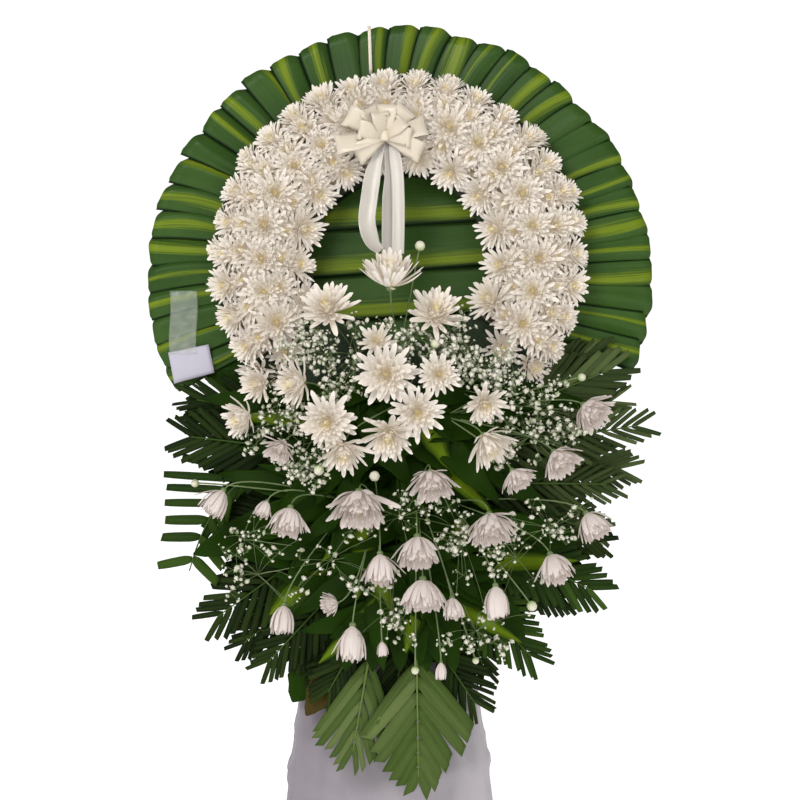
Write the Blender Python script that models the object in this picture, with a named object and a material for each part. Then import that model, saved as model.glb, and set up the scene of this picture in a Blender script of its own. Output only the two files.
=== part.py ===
"""Funeral flower stand: a leaning easel carries a leaf-covered board with a flower wreath and a spray.

Everything on the board is modelled flat in the frame of the empty flower_head, whose origin is the
centre of the leaf ruff: X to the right, Z up along the board, -Y out of the board towards the viewer.
That empty leans back with the easel. Depths are distances out of the board's front face.
"""
import math
import random

import bmesh
import bpy
from mathutils import Matrix, Vector

# Driving sizes in metres, angles in degrees
SEAT = 0.0003
LEAN = math.radians(8.0)
HEAD_HEIGHT = 1.27
STAND_X = -0.022

BOARD_RADIUS = 0.36
BOARD_THICKNESS = 0.012
TONGUE_HALF_WIDTH = 0.10
TONGUE_BOTTOM = -0.684

LEG_SIDE = 0.030
LEG_FOOT_X = 0.1955
LEG_SLOPE = 0.115
LEG_TOP = 1.40
BLOCK_BOTTOM = 1.335
BLOCK_DEPTH = 0.055
REAR_FOOT_Y = 0.27
RAIL_HEIGHT = 0.70
RAIL_WIDTH = 0.040
RAIL_THICKNESS = 0.020

CLOTH_FOOT_HALF_WIDTH = 0.2205
CLOTH_HEM = 0.012
CLOTH_TOP = 0.585
CLOTH_THICKNESS = 0.004
CLOTH_FOLD = 0.011

RUFF_START = -22.0
RUFF_PITCH = 6.486
RUFF_SECTORS = 7
LEAVES_PER_SECTOR = 5
RUFF_INNER = 0.20
RUFF_BEND = 0.37
RUFF_OUTER = 0.466
RUFF_LOW = 0.0021
RUFF_HIGH = 0.022
RUFF_RIM_HIGH = 0.028
LEAF_THICKNESS = 0.0018

RING_Z = 0.033
RING_X = -0.002
RING_INNER = 0.16
RING_OUTER = 0.335
RING_BACK = RUFF_HIGH + SEAT
RING_FRONT = 0.060

FOAM_LOWER = ((-0.10, 0.10), (-0.664, -0.309), (SEAT, 0.070))
FOAM_UPPER = ((-0.11, 0.11), (-0.299, -0.154), (RING_FRONT + SEAT, 0.115))

WREATH_START = -35.0
WREATH_SECTORS = 6
SECTOR_ANGLE = 250.0 / WREATH_SECTORS
WREATH_ROWS = ((0.190, 2, -35.0, 5), (0.252, 3, 0.0, 6), (0.315, 4, 38.0, 6))
CORE_PROFILE = ((0.170, 0.0603), (0.325, 0.0603), (0.325, 0.068), (0.295, 0.080),
                (0.250, 0.086), (0.200, 0.080), (0.170, 0.068))
WREATH_HEAD = 0.0285
BOW_SECTOR, BOW_PLACE = 3, 3
BOW_FOOT = 0.0822

SPRAY_MIDDLE = -0.33
SPRAY_HALF = (0.43, 0.47)
SPRAY_BASE, SPRAY_DOME = 0.075, 0.13
SIGHT_Z, SIGHT_DISTANCE = -0.222, 3.0
TRUNK_LENGTH, TRUNK_RADIUS, FORK_STEP, STEM_RADIUS = 0.009, 0.005, 0.0015, 0.0016

# Colours: base colour, roughness
WOOD = ("wood", (0.55, 0.42, 0.28), 0.6)
PLY = ("plywood", (0.50, 0.38, 0.24), 0.6)
FOAM = ("wet_foam", (0.10, 0.22, 0.10), 0.9)
CLOTH = ("stand_cloth", (0.38, 0.35, 0.40), 0.8)
RUFF_LEAF = ("ruff_leaf", (0.07, 0.19, 0.03), 0.35)
PALM_LEAF = ("palm_leaf", (0.03, 0.10, 0.02), 0.45)
PALM_LIGHT = ("palm_leaf_light", (0.12, 0.21, 0.05), 0.5)
BROAD_LEAF = ("broad_leaf", (0.05, 0.15, 0.02), 0.35)
PETAL = ("petal", (0.80, 0.74, 0.66), 0.6)
BREATH = ("babys_breath", (0.74, 0.78, 0.66), 0.7)
SATIN = ("satin_ribbon", (0.84, 0.80, 0.72), 0.35)
CARD = ("note_card", (0.70, 0.66, 0.82), 0.6)
TAPE = ("clear_tape", (0.55, 0.62, 0.55), 0.2)

# Flower heads of the spray, in millimetres and degrees. Each group grows from one spot of the foam.
# Head: x and z where it shows against the board, radius, yaw to the right, pitch up, closure from
# open (0) to bell (1), and its depth where that isn't the spray's dome.
# Bud: x, z, radius.
SPRAY_GROUPS = {
    "spray_blooms_crown": {
        "root": (0, -153.7, 88), "start": (0, 0, 1),
        "heads": [(-18, 8, 50, 0, 62, 0.45, 190), (-135, -52, 46, -12, 28, 0.2, 168),
                  (65, -61, 46, 8, 30, 0.2, 168), (-43, -113, 30, 0, 10, 0.2, 172)],
        "buds": [(37, 63, 9)]},
    "spray_blooms_left_upper": {
        "root": (-80, -250, 115.3), "start": (0, -1, 0),
        "heads": [(-192, -191, 41, -50, -5, 0.3), (-222, -311, 27, -20, -35, 0.5),
                  (-135, -263, 46, -5, -12, 0.1),
                  (-264, -192, 31, -35, -5, 0.3), (-292, -255, 35, -45, -15, 0.4)],
        "buds": [(-150, -352, 9)]},
    "spray_blooms_centre": {
        "root": (0, -225, 115.3), "start": (0, -1, 0),
        "heads": [(-26, -174, 50, 0, 0, 0.1), (72, -174, 35, 5, 0, 0.1), (32, -244, 43, 3, -8, 0.1),
                  (-22, -288, 44, -3, -30, 0.25), (-105, -318, 38, 0, -42, 0.35)],
        "buds": [(65, -118, 8)]},
    "spray_blooms_right_upper": {
        "root": (80, -250, 115.3), "start": (0, -1, 0),
        "heads": [(157, -229, 35, 10, -22, 0.2), (163, -302, 43, 35, -45, 0.4),
                  (352, -242, 39, 45, -35, 0.5), (294, -331, 37, 40, -45, 0.5),
                  (215, -364, 31, 45, -50, 0.5)],
        "buds": [(336, -180, 7)]},
    "spray_blooms_left_lower": {
        "root": (-85, -400, 70.3), "start": (0, -1, 0),
        "heads": [(-337, -407, 34, -50, -55, 0.85), (-206, -440, 37, -15, -60, 0.7),
                  (-251, -420, 22, -40, -55, 0.8), (-216, -623, 33, -10, -72, 0.9)],
        "buds": [(-379, -376, 7)]},
    "spray_blooms_centre_left": {
        "root": (-40, -400, 70.3), "start": (0, -1, 0),
        "heads": [(-76, -413, 52, 0, -50, 0.5), (-37, -529, 37, 0, -68, 0.85),
                  (-89, -666, 41, -5, -68, 0.95), (-33, -680, 17, 10, -72, 0.95),
                  (-126, -600, 22, -60, -10, 0.6)],
        "buds": [(-47, -363, 9)]},
    "spray_blooms_centre_right": {
        "root": (30, -385, 70.3), "start": (0, -1, 0),
        "heads": [(58, -372, 41, 5, -52, 0.5), (33, -496, 43, 5, -62, 0.6), (43, -577, 44, 5, -68, 0.65),
                  (98, -603, 27, 20, -66, 0.8), (76, -720, 19, 0, -78, 1.0)],
        "buds": [(28, -722, 7), (140, -704, 6)]},
    "spray_blooms_right_lower": {
        "root": (85, -400, 70.3), "start": (0, -1, 0),
        "heads": [(168, -453, 43, 10, -55, 0.55), (355, -448, 37, 50, -50, 0.7),
                  (284, -527, 38, 30, -60, 0.7), (178, -590, 37, 8, -72, 0.95)],
        "buds": [(244, -603, 9)]},
}

# Trimmed palm fronds: root and tip of the rib against the board, layer depth, longest leaflet,
# leaflet angle from the rib, and pairs of leaflets, in millimetres and degrees.
FRONDS = {
    "palm_left_1": ((-100.3, -322), (-420, -268), 52, 95, 38, 8, PALM_LEAF),
    "palm_left_2": ((-100.3, -372), (-402, -508), 44, 105, 38, 9, PALM_LEAF),
    "palm_left_3": ((-100.3, -450), (-338, -672), 36, 105, 40, 9, PALM_LEAF),
    "palm_left_4": ((-100.3, -550), (-268, -730), 28, 90, 38, 8, PALM_LEAF),
    "palm_right_1": ((100.3, -322), (462, -262), 52, 95, 38, 9, PALM_LEAF),
    "palm_right_2": ((100.3, -372), (425, -375), 44, 100, 38, 9, PALM_LEAF),
    "palm_right_3": ((100.3, -450), (370, -590), 36, 105, 40, 9, PALM_LEAF),
    "palm_right_4": ((100.3, -550), (265, -716), 28, 95, 38, 8, PALM_LEAF),
    "palm_bottom_1": ((62, -664.3), (150, -795), 36, 85, 36, 7, PALM_LEAF),
    "palm_bottom_2": ((-52, -664.3), (-84, -846), 46, 118, 36, 8, PALM_LIGHT),
    "palm_bottom_3": ((30, -664.3), (37, -945), 58, 128, 41, 10, PALM_LIGHT),
}
SIDE_TRIM = 0.447

# Broad leaves: root, tip, widest half width and layer depth, in millimetres
BROAD_LEAVES = {
    "broad_leaf_left_1": ((-100.3, -395), (-372, -500), 38, 66),
    "broad_leaf_left_2": ((-100.3, -500), (-236, -610), 34, 66),
    "broad_leaf_right_1": ((100.3, -400), (300, -545), 36, 66),
    "broad_leaf_right_2": ((100.3, -520), (225, -650), 34, 66),
    "broad_leaf_bottom": ((-82, -664.3), (-172, -800), 32, 24),
}

# Baby's breath: root, cloud centres and half sizes, in millimetres
BREATH_CLOUDS = {
    "babys_breath_upper": ((0, -196, 115.3), [(-80, -140, 45, 70), (25, -105, 60, 45), (105, -120, 40, 60)]),
    "babys_breath_left": ((-98, -200, 115.3), [(-231, -268, 55, 40), (-165, -130, 40, 45), (-190, -340, 50, 30)]),
    "babys_breath_right": ((98, -200, 115.3), [(262, -240, 65, 50), (170, -160, 50, 35), (240, -290, 60, 40)]),
    "babys_breath_lower_left": ((-72, -500, 70.3), [(-263, -545, 60, 50), (-130, -520, 50, 60), (-290, -480, 40, 40)]),
    "babys_breath_lower": ((-5, -455, 70.3), [(0, -440, 60, 40), (111, -470, 30, 75), (-15, -610, 50, 50)]),
    "babys_breath_lower_right": ((72, -500, 70.3), [(277, -460, 60, 40), (215, -515, 50, 45), (140, -650, 50, 30)]),
}
FLORETS_PER_CLOUD = 4
FLORET_RADIUS = 0.005


def clear_scene():
    for thing in list(bpy.data.objects):
        bpy.data.objects.remove(thing)


def material(kind):
    """The Principled material of a kind, made once."""
    name, colour, roughness = kind
    if name in bpy.data.materials:
        return bpy.data.materials[name]
    made = bpy.data.materials.new(name)
    made.use_nodes = True
    shader = made.node_tree.nodes["Principled BSDF"]
    shader.inputs["Base Color"].default_value = (*colour, 1.0)
    shader.inputs["Roughness"].default_value = roughness
    shader.inputs["Metallic"].default_value = 0.0
    return made


def add_empty(name, parent=None):
    empty = bpy.data.objects.new(name, None)
    bpy.context.scene.collection.objects.link(empty)
    empty.parent = parent
    return empty


def add_solid(name, shape, kind, parent):
    """A node from one closed shape, which is a pair of points and faces."""
    mesh = bpy.data.meshes.new(name)
    mesh.from_pydata([tuple(p) for p in shape[0]], [], shape[1])
    mesh.materials.append(material(kind))
    made = bpy.data.objects.new(name, mesh)
    bpy.context.scene.collection.objects.link(made)
    made.parent = parent
    return made


def keep_main_body(mesh):
    """Drop loose scraps and fill sealed hollows: only the largest connected shell stays."""
    work = bmesh.new()
    work.from_mesh(mesh)
    unseen = set(work.verts)
    bodies = []
    while unseen:
        body = {unseen.pop()}
        edge = list(body)
        while edge:
            near = {e.other_vert(v) for v in edge for e in v.link_edges} & unseen
            unseen -= near
            body |= near
            edge = list(near)
        bodies.append(body)
    bodies.sort(key=len)
    bmesh.ops.delete(work, geom=[v for body in bodies[:-1] for v in body], context="VERTS")
    bmesh.ops.triangulate(work, faces=work.faces)
    work.to_mesh(mesh)
    work.free()


def add_union(name, shapes, kind, parent):
    """A node from overlapping closed shapes, joined by one Boolean."""
    base = add_solid(name, shapes[0], kind, parent)
    extras = bpy.data.collections.new(name + "_extras")
    bpy.context.scene.collection.children.link(extras)
    for index, shape in enumerate(shapes[1:]):
        mesh = bpy.data.meshes.new(f"{name}_extra_{index}")
        mesh.from_pydata([tuple(p) for p in shape[0]], [], shape[1])
        extra = bpy.data.objects.new(mesh.name, mesh)
        extras.objects.link(extra)
        extra.parent = parent
    union = base.modifiers.new("union", "BOOLEAN")
    union.operation = "UNION"
    union.operand_type = "COLLECTION"
    union.solver = "EXACT"
    union.collection = extras
    graph = bpy.context.evaluated_depsgraph_get()
    joined = bpy.data.meshes.new_from_object(base.evaluated_get(graph))
    base.modifiers.clear()
    base.data = joined
    for extra in list(extras.objects):
        bpy.data.objects.remove(extra)
    bpy.data.collections.remove(extras)
    keep_main_body(joined)
    return base


def at(x, z, depth):
    """A point of the flower head: x and z along the board, depth out of its front face."""
    return Vector((x, -depth, z))


def seen(x_mm, z_mm, depth_mm):
    """A point at a depth, on the line of sight through x and z on the board, from millimetres."""
    depth = depth_mm / 1000
    nearer = 1 - depth / SIGHT_DISTANCE
    return at(x_mm / 1000 * nearer, SIGHT_Z + (z_mm / 1000 - SIGHT_Z) * nearer, depth)


def polar(radius, degrees, depth, middle=(0.0, 0.0)):
    turn = math.radians(degrees)
    return at(middle[0] + radius * math.cos(turn), middle[1] + radius * math.sin(turn), depth)


def plate(points, faces, thickness):
    """A thin solid: front faces, the same behind them, and walls along the open edges."""
    count = len(points)
    back = [p + Vector((0, thickness, 0)) for p in points]
    front = []
    for face in faces:
        front += [(face[0], face[i], face[i + 1]) for i in range(1, len(face) - 1)]
    edges = {(t[i], t[(i + 1) % 3]) for t in front for i in range(3)}
    walls = [(b, a, a + count, b + count) for a, b in sorted(edges) if (b, a) not in edges]
    behind = [tuple(v + count for v in reversed(t)) for t in front]
    return points + back, front + behind + walls


def clamped(shape, axis, limit, side):
    """A shape with its points moved back to a plane that they reach past; side is the side to keep to."""
    for point in shape[0]:
        if (point[axis] - limit) * side < 0:
            point[axis] = limit
    return shape


def prism(x_range, z_range, depth_range):
    """A block of the flower head."""
    (x0, x1), (z0, z1), (d0, d1) = x_range, z_range, depth_range
    corners = [at(x, z, d) for d in (d1, d0) for x, z in ((x0, z0), (x1, z0), (x1, z1), (x0, z1))]
    return corners, [(0, 1, 2, 3), (7, 6, 5, 4), (1, 0, 4, 5), (2, 1, 5, 6), (3, 2, 6, 7), (0, 3, 7, 4)]


def loft(rings):
    """A closed tube through rings of equal count, with flat ends. Rings turn left along the path."""
    count = len(rings[0])
    points = [p for ring in rings for p in ring]
    faces = [tuple(reversed(range(count))), tuple(range(len(points) - count, len(points)))]
    for level in range(len(rings) - 1):
        low = level * count
        for i in range(count):
            j = (i + 1) % count
            faces.append((low + i, low + j, low + count + j, low + count + i))
    return points, faces


def frame_along(direction):
    """Two unit vectors across a direction, the second a left turn from the first."""
    across = direction.cross(Vector((0.31, 0.52, 0.79))).normalized()
    return across, direction.cross(across).normalized()


def tube(path, radius, sides=3):
    return swelling_tube(path, [radius] * len(path), sides)


def bezier(p0, p1, p2, p3, steps):
    path = []
    for i in range(steps + 1):
        t = i / steps
        s = 1 - t
        path.append(s ** 3 * p0 + 3 * s * s * t * p1 + 3 * s * t * t * p2 + t ** 3 * p3)
    return path


def strip(path, across, widths, thickness):
    """A flat ribbon along a path; across and widths give its width's direction and size at each point."""
    rings = []
    for i, point in enumerate(path):
        ahead = (path[min(i + 1, len(path) - 1)] - path[max(i - 1, 0)]).normalized()
        side = (across[i] - across[i].dot(ahead) * ahead).normalized()
        up = ahead.cross(side)
        a, b = side * widths[i] / 2, up * thickness / 2
        rings.append([point - a - b, point + a - b, point + a + b, point - a + b])
    return loft(rings)


def aim(direction):
    """A rotation that turns +Z to a direction."""
    return Vector((0, 0, 1)).rotation_difference(direction).to_matrix().to_4x4()


def star_layers(first, radius, petals, closure, turn):
    """Two layers of pointed petals, from index first on: points, faces and the outer loop of indices."""
    spread = radius * (1.0 - 0.38 * closure)
    height = radius * (0.45 + 0.85 * closure)
    layers = ((spread, height, 0.70, 0.66), (spread * 0.64, height * (1.28 - 0.35 * closure), 0.68, 0.84))
    points, faces, loops = [], [], []
    count = 2 * petals
    for level, (reach, top, notch, notch_top) in enumerate(layers):
        loops.append([first + len(points) + k for k in range(count)])
        for k in range(count):
            angle = turn + math.pi * (k + level) / petals
            r, z = (reach, top) if k % 2 == 0 else (reach * notch, top * notch_top)
            points.append(Vector((r * math.cos(angle), r * math.sin(angle), z)))
    lower, upper = loops
    for k in range(count):
        # the upper layer is turned by one notch, so its petals lie over the gaps of the lower one
        faces += [(lower[k], lower[(k + 1) % count], upper[k]), (lower[k], upper[k], upper[(k - 1) % count])]
    points.append(Vector((0, 0, layers[-1][1] * (1.02 - 0.25 * closure))))
    apex = first + len(points) - 1
    faces += [(apex, upper[k], upper[(k + 1) % count]) for k in range(count)]
    return points, faces, lower


def star_head(base, facing, radius, petals, closure, turn):
    """A flower head without a stem, which tapers to its base."""
    points, faces, loop = star_layers(1, radius, petals, closure, turn)
    faces += [(0, loop[(k + 1) % len(loop)], loop[k]) for k in range(len(loop))]
    place = Matrix.Translation(base) @ aim(facing)
    return [place @ p for p in [Vector()] + points], faces


def stemmed_head(path, facing, radius, petals, closure, turn):
    """A flower head whose three-sided stem widens into its lowest layer of petals."""
    points, faces = tube(path[:-1], STEM_RADIUS)
    faces.pop(1)
    place = Matrix.Translation(path[-1]) @ aim(facing)
    neck = [place @ Vector((STEM_RADIUS * 1.3 * math.cos(a), STEM_RADIUS * 1.3 * math.sin(a), 0))
            for a in (turn + 2 * math.pi * k / 3 for k in range(3))]
    low = points[-3:]
    shift = min(range(3), key=lambda s: sum((neck[(k + s) % 3] - low[k]).length for k in range(3)))
    under, over = len(points) - 3, len(points)
    for k in range(3):
        a, b = (k + shift) % 3, (k + shift + 1) % 3
        faces.append((under + k, under + (k + 1) % 3, over + b, over + a))
    points += neck
    layers, more, loop = star_layers(len(points), radius, petals, closure, turn)
    points += [place @ p for p in layers]
    faces += more
    i = j = 0
    while i < 3 or j < len(loop):
        a, c = over + i % 3, loop[j % len(loop)]
        if j == len(loop) or (i < 3 and (i + 1) / 3 <= (j + 1) / len(loop)):
            faces.append((a, over + (i + 1) % 3, c))
            i += 1
        else:
            faces.append((a, loop[(j + 1) % len(loop)], c))
            j += 1
    return points, faces


def swelling_tube(path, radii, sides):
    """A closed tube with a radius at each point."""
    rings = []
    for i, point in enumerate(path):
        ahead = path[min(i + 1, len(path) - 1)] - path[max(i - 1, 0)]
        u, v = frame_along(ahead.normalized())
        rings.append([point + radii[i] * (math.cos(a) * u + math.sin(a) * v)
                      for a in (2 * math.pi * k / sides for k in range(sides))])
    return loft(rings)


def stemmed_bud(path, facing, radius):
    """A small round bud that its stem swells into."""
    middle = path[-1]
    line = path[:-1] + [middle - facing * radius * 0.8, middle, middle + facing * radius * 0.7,
                        middle + facing * radius * 1.1]
    radii = [STEM_RADIUS] * (len(path) - 1) + [STEM_RADIUS * 1.3, radius, radius * 0.75, radius * 0.2]
    return swelling_tube(line, radii, 4)


def bead(centre, radius):
    """A small octahedron."""
    axes = [Vector(a) for a in ((1, 0, 0), (0, 1, 0), (-1, 0, 0), (0, -1, 0))]
    points = [centre + radius * a for a in axes] + [centre - Vector((0, 0, radius)), centre + Vector((0, 0, radius))]
    faces = []
    for k in range(4):
        n = (k + 1) % 4
        faces += [(4, n, k), (5, k, n)]
    return points, faces


def floret_twig(hub, centre):
    """A floret on its own twig, which starts inside the hub and ends in a small double pyramid."""
    away = (centre - hub).normalized()
    u, v = frame_along(away)
    points = [hub + away * 0.0008]
    for place, radius in ((hub + away * 0.0040, 0.0007), (centre - away * FLORET_RADIUS, 0.0007),
                          (centre, FLORET_RADIUS)):
        points += [place + radius * (math.cos(a) * u + math.sin(a) * v)
                   for a in (2 * math.pi * k / 3 for k in range(3))]
    points.append(centre + away * FLORET_RADIUS)
    faces = []
    for k in range(3):
        n = (k + 1) % 3
        faces += [(0, 1 + n, 1 + k), (10, 7 + k, 7 + n)]
        faces += [(low + k, low + n, low + 3 + n, low + 3 + k) for low in (1, 4)]
    return points, faces


def leg_plane(height, behind):
    """World Y, at a height, of a plane that lies behind the board's back face by a distance."""
    back = BOARD_THICKNESS + behind
    return back / math.cos(LEAN) + (height - HEAD_HEIGHT) * math.tan(LEAN)


def sheared_block(low, high):
    """A batten between two horizontal rectangles (x0, x1, y0, y1, z)."""
    rings = []
    for x0, x1, y0, y1, z in (low, high):
        rings.append([Vector(c) for c in ((x0, y0, z), (x1, y0, z), (x1, y1, z), (x0, y1, z))])
    return loft(rings)


def leg_x(height):
    return LEG_FOOT_X - LEG_SLOPE * height


def build_easel(root):
    half = LEG_SIDE / 2
    deep = LEG_SIDE / math.cos(LEAN)
    for name, side in (("front_leg_left", -1), ("front_leg_right", 1)):
        ends = []
        for z in (0.0, LEG_TOP):
            x = STAND_X + side * leg_x(z)
            y = leg_plane(z, SEAT)
            ends.append((x - half, x + half, y, y + deep, z))
        add_solid(name, sheared_block(*ends), WOOD, root)

    ends = []
    for z in (BLOCK_BOTTOM, LEG_TOP):
        reach = leg_x(z) - half - SEAT
        y = leg_plane(z, SEAT)
        ends.append((STAND_X - reach, STAND_X + reach, y, y + BLOCK_DEPTH, z))
    add_solid("head_block", sheared_block(*ends), WOOD, root)

    rear_half = 0.013
    top_y = leg_plane(BLOCK_BOTTOM, SEAT) + BLOCK_DEPTH - LEG_SIDE
    foot = (STAND_X - rear_half, STAND_X + rear_half, REAR_FOOT_Y, REAR_FOOT_Y + LEG_SIDE, 0.0)
    top = (STAND_X - rear_half, STAND_X + rear_half, top_y, top_y + LEG_SIDE, BLOCK_BOTTOM - SEAT)
    add_solid("rear_leg", sheared_block(foot, top), WOOD, root)

    ends = []
    for z in (RAIL_HEIGHT - RAIL_WIDTH / 2, RAIL_HEIGHT + RAIL_WIDTH / 2):
        y = leg_plane(z, SEAT) + deep + SEAT
        reach = leg_x(RAIL_HEIGHT) + half - 0.002
        ends.append((STAND_X - reach, STAND_X + reach, y, y + RAIL_THICKNESS, z))
    add_solid("cross_rail", sheared_block(*ends), WOOD, root)


def cloth_loop(height, offset, fold):
    """One turn of the cloth: a rounded triangle round the three legs, with folds standing outwards."""
    half = CLOTH_FOOT_HALF_WIDTH - LEG_SLOPE * height - CLOTH_THICKNESS
    front = leg_plane(height, SEAT) - 2 * SEAT
    slope = (REAR_FOOT_Y + LEG_SIDE - leg_plane(BLOCK_BOTTOM, 0) - BLOCK_DEPTH) / BLOCK_BOTTOM
    rear = REAR_FOOT_Y + LEG_SIDE + 0.006 - slope * height
    beside = front + LEG_SIDE + 0.006
    corners = [(-half, front), (half, front), (half, beside), (0.028, rear), (-0.028, rear), (-half, beside)]
    steps = (9, 1, 7, 2, 7, 1)
    ring = []
    for side, count in enumerate(steps):
        (x0, y0), (x1, y1) = corners[side], corners[(side + 1) % 6]
        for k in range(count):
            t = k / count
            x, y = x0 + t * (x1 - x0), y0 + t * (y1 - y0)
            out = Vector((y1 - y0, x0 - x1)).normalized()
            place = len(ring)
            wave = fold * (0.5 + 0.5 * math.sin(2.3 * place + 0.8 * math.sin(1.7 * place)))
            push = offset + wave * min(1.0, 4 * t, 4 * (1 - t))
            ring.append(Vector((STAND_X + x + out.x * push, y + out.y * push, height)))
            if k == 0:
                corner = Vector((x, y - (front + rear) / 2)).normalized()
                ring[-1] = Vector((STAND_X + x + corner.x * offset, y + corner.y * offset, height))
    return ring


def build_cloth(root):
    """The cloth wrapped round the legs, tied close at its top and hanging in folds to its hem."""
    levels = 3
    outer, inner = [], []
    for i in range(levels + 1):
        t = i / levels
        height = CLOTH_HEM + t * (CLOTH_TOP - CLOTH_HEM)
        fold = CLOTH_FOLD * (1 - t) ** 0.8
        inner.append(cloth_loop(height, 0.0, fold))
        outer.append(cloth_loop(height, CLOTH_THICKNESS, fold))
    count = len(outer[0])
    points = [p for ring in outer + inner for p in ring]
    start = len(outer) * count
    faces = []
    for level in range(levels):
        for i in range(count):
            j = (i + 1) % count
            a, b = level * count + i, level * count + j
            faces += [(a, b, b + count), (a, b + count, a + count)]
            a, b = a + start, b + start
            faces += [(b, a, b + count), (a, a + count, b + count)]
    last = levels * count
    for i in range(count):
        j = (i + 1) % count
        faces += [(j, i, start + i, start + j), (last + i, last + j, start + last + j, start + last + i)]
    add_solid("stand_cloth", (points, faces), CLOTH, root)


def build_board(head):
    """A round board with a tongue below it, cut from one sheet."""
    steps = 40
    side = math.degrees(math.asin(TONGUE_HALF_WIDTH / BOARD_RADIUS))
    outline = []
    for i in range(steps + 1):
        turn = math.radians(-90 + side + (360 - 2 * side) * i / steps)
        outline.append((BOARD_RADIUS * math.cos(turn), BOARD_RADIUS * math.sin(turn)))
    outline += [(-TONGUE_HALF_WIDTH, TONGUE_BOTTOM), (TONGUE_HALF_WIDTH, TONGUE_BOTTOM)]
    rings = [[at(x, z, d) for x, z in outline] for d in (-BOARD_THICKNESS, 0.0)]
    add_solid("backing_board", loft(rings), PLY, head)


def build_ring(head):
    """The foam ring that carries the wreath."""
    profile = ((RING_INNER, RING_BACK), (RING_INNER, RING_FRONT), (RING_OUTER, RING_FRONT),
               (RING_OUTER, RING_BACK))
    steps = 32
    points, faces = [], []
    for i in range(steps):
        points += [polar(r, 360 * i / steps, d, (RING_X, RING_Z)) for r, d in profile]
    count = len(profile)
    for i in range(steps):
        a, b = i * count, (i + 1) % steps * count
        for k in range(count):
            n = (k + 1) % count
            faces.append((a + k, a + n, b + n, b + k))
    add_solid("wreath_ring", (points, faces), FOAM, head)


def ruff_point(leaf, place, radius_step, jitter):
    """A point of the pleated ruff. Place runs over one leaf, whose ridge stands before its far edge."""
    shapes = ((0.0, RUFF_LOW), (0.42, RUFF_HIGH), (0.975, RUFF_HIGH * 0.72))
    share, depth = shapes[place]
    degrees = RUFF_START + (leaf + share) * RUFF_PITCH
    scallop = (0.972, 1.006, 0.990)[place]
    rim = RUFF_OUTER * scallop * (1 + 0.012 * jitter)
    radius = (RUFF_INNER, RUFF_BEND, rim)[radius_step]
    if radius_step == 2:
        depth *= RUFF_RIM_HIGH / RUFF_HIGH
    return polar(radius, degrees, depth)


def build_ruff(head):
    """Overlapping leaves round the board, a pleated sheet for each sector."""
    draw = random.Random(11)
    jitters = [draw.uniform(-1, 1) for _ in range(RUFF_SECTORS * LEAVES_PER_SECTOR + 1)]
    gap = SEAT / RUFF_INNER
    for sector in range(RUFF_SECTORS):
        first = sector * LEAVES_PER_SECTOR
        columns = [(leaf, place) for leaf in range(first, first + LEAVES_PER_SECTOR) for place in range(3)]
        points = []
        for leaf, place in columns:
            points += [ruff_point(leaf, place, step, jitters[leaf]) for step in range(3)]
        faces = []
        for c in range(len(columns) - 1):
            for step in range(2):
                a = c * 3 + step
                faces.append((a, a + 1, a + 4, a + 3))
        turn = Matrix.Rotation(-gap * 0.5, 4, "Y")
        shape = plate([turn @ p for p in points], faces, LEAF_THICKNESS)
        add_solid(f"leaf_ruff_{sector + 1}", shape, RUFF_LEAF, head)


def build_centre_leaves(head):
    """Leaves laid one over another across the hole of the wreath."""
    bands = 6
    low, high = -0.150, 0.186
    reach = 0.190
    rows = []
    for band in range(bands):
        z0 = low + (high - low) * band / bands
        step = (high - low) / bands
        rows += [(z0, 0.016), (z0 + 0.55 * step, 0.011), (z0 + 0.94 * step, 0.004)]
    points, faces = [], []
    for z, depth in rows:
        half = math.sqrt(max(reach ** 2 - z ** 2, 0.02 ** 2))
        points += [at(x, z, depth - 0.0019) for x in (-half, 0.0, half)]
    for r in range(len(rows) - 1):
        for c in range(2):
            a = r * 3 + c
            faces.append((a, a + 1, a + 4, a + 3))
    add_solid("centre_leaves", plate(points, faces, LEAF_THICKNESS), RUFF_LEAF, head)


def wreath_heads(sector):
    """Base, facing, petals and turn of each head in a sector of the wreath."""
    draw = random.Random(100 + sector)
    heads = []
    for row, (radius, count, tilt, petals) in enumerate(WREATH_ROWS):
        for k in range(count):
            degrees = WREATH_START + SECTOR_ANGLE * (sector + (k + 0.5) / count)
            place = len(heads)
            shift = draw.uniform(-0.003, 0.003)
            sway = draw.uniform(-7, 7)
            turn = draw.uniform(0, 1)
            if (sector, place) == (BOW_SECTOR, BOW_PLACE - 1):
                heads.append(None)
                continue
            out = polar(1.0, degrees, 0.0)
            lean = math.radians(tilt + sway)
            facing = out * math.sin(lean) + Vector((0, -1, 0)) * math.cos(lean)
            lift = (0.0745, 0.0825, 0.0700)[row]
            base = polar(radius + shift, degrees, lift, (RING_X, RING_Z))
            heads.append((base, facing, petals, turn))
    return heads


def core_shape(sector):
    """The dense middle of a wreath sector, which its heads stand out of."""
    steps = 4
    edge = 0.15
    rings = []
    for i in range(steps + 1):
        degrees = WREATH_START + SECTOR_ANGLE * sector + edge + (SECTOR_ANGLE - 2 * edge) * i / steps
        rings.append([polar(r, degrees, d, (RING_X, RING_Z)) for r, d in reversed(CORE_PROFILE)])
    return loft(rings)


def build_wreath(head):
    for sector in range(WREATH_SECTORS):
        shapes = [core_shape(sector)]
        for entry in wreath_heads(sector):
            if entry:
                base, facing, petals, turn = entry
                shapes.append(star_head(base, facing, WREATH_HEAD, petals, 0.10, turn))
        add_union(f"wreath_blooms_{sector + 1}", shapes, PETAL, head)


def dome(x, z):
    """Depth of the spray's outer surface over a point of the board, in metres."""
    inside = 1 - (x / SPRAY_HALF[0]) ** 2 - ((z - SPRAY_MIDDLE) / SPRAY_HALF[1]) ** 2
    return SPRAY_BASE + SPRAY_DOME * math.sqrt(max(0.0, inside))


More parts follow.
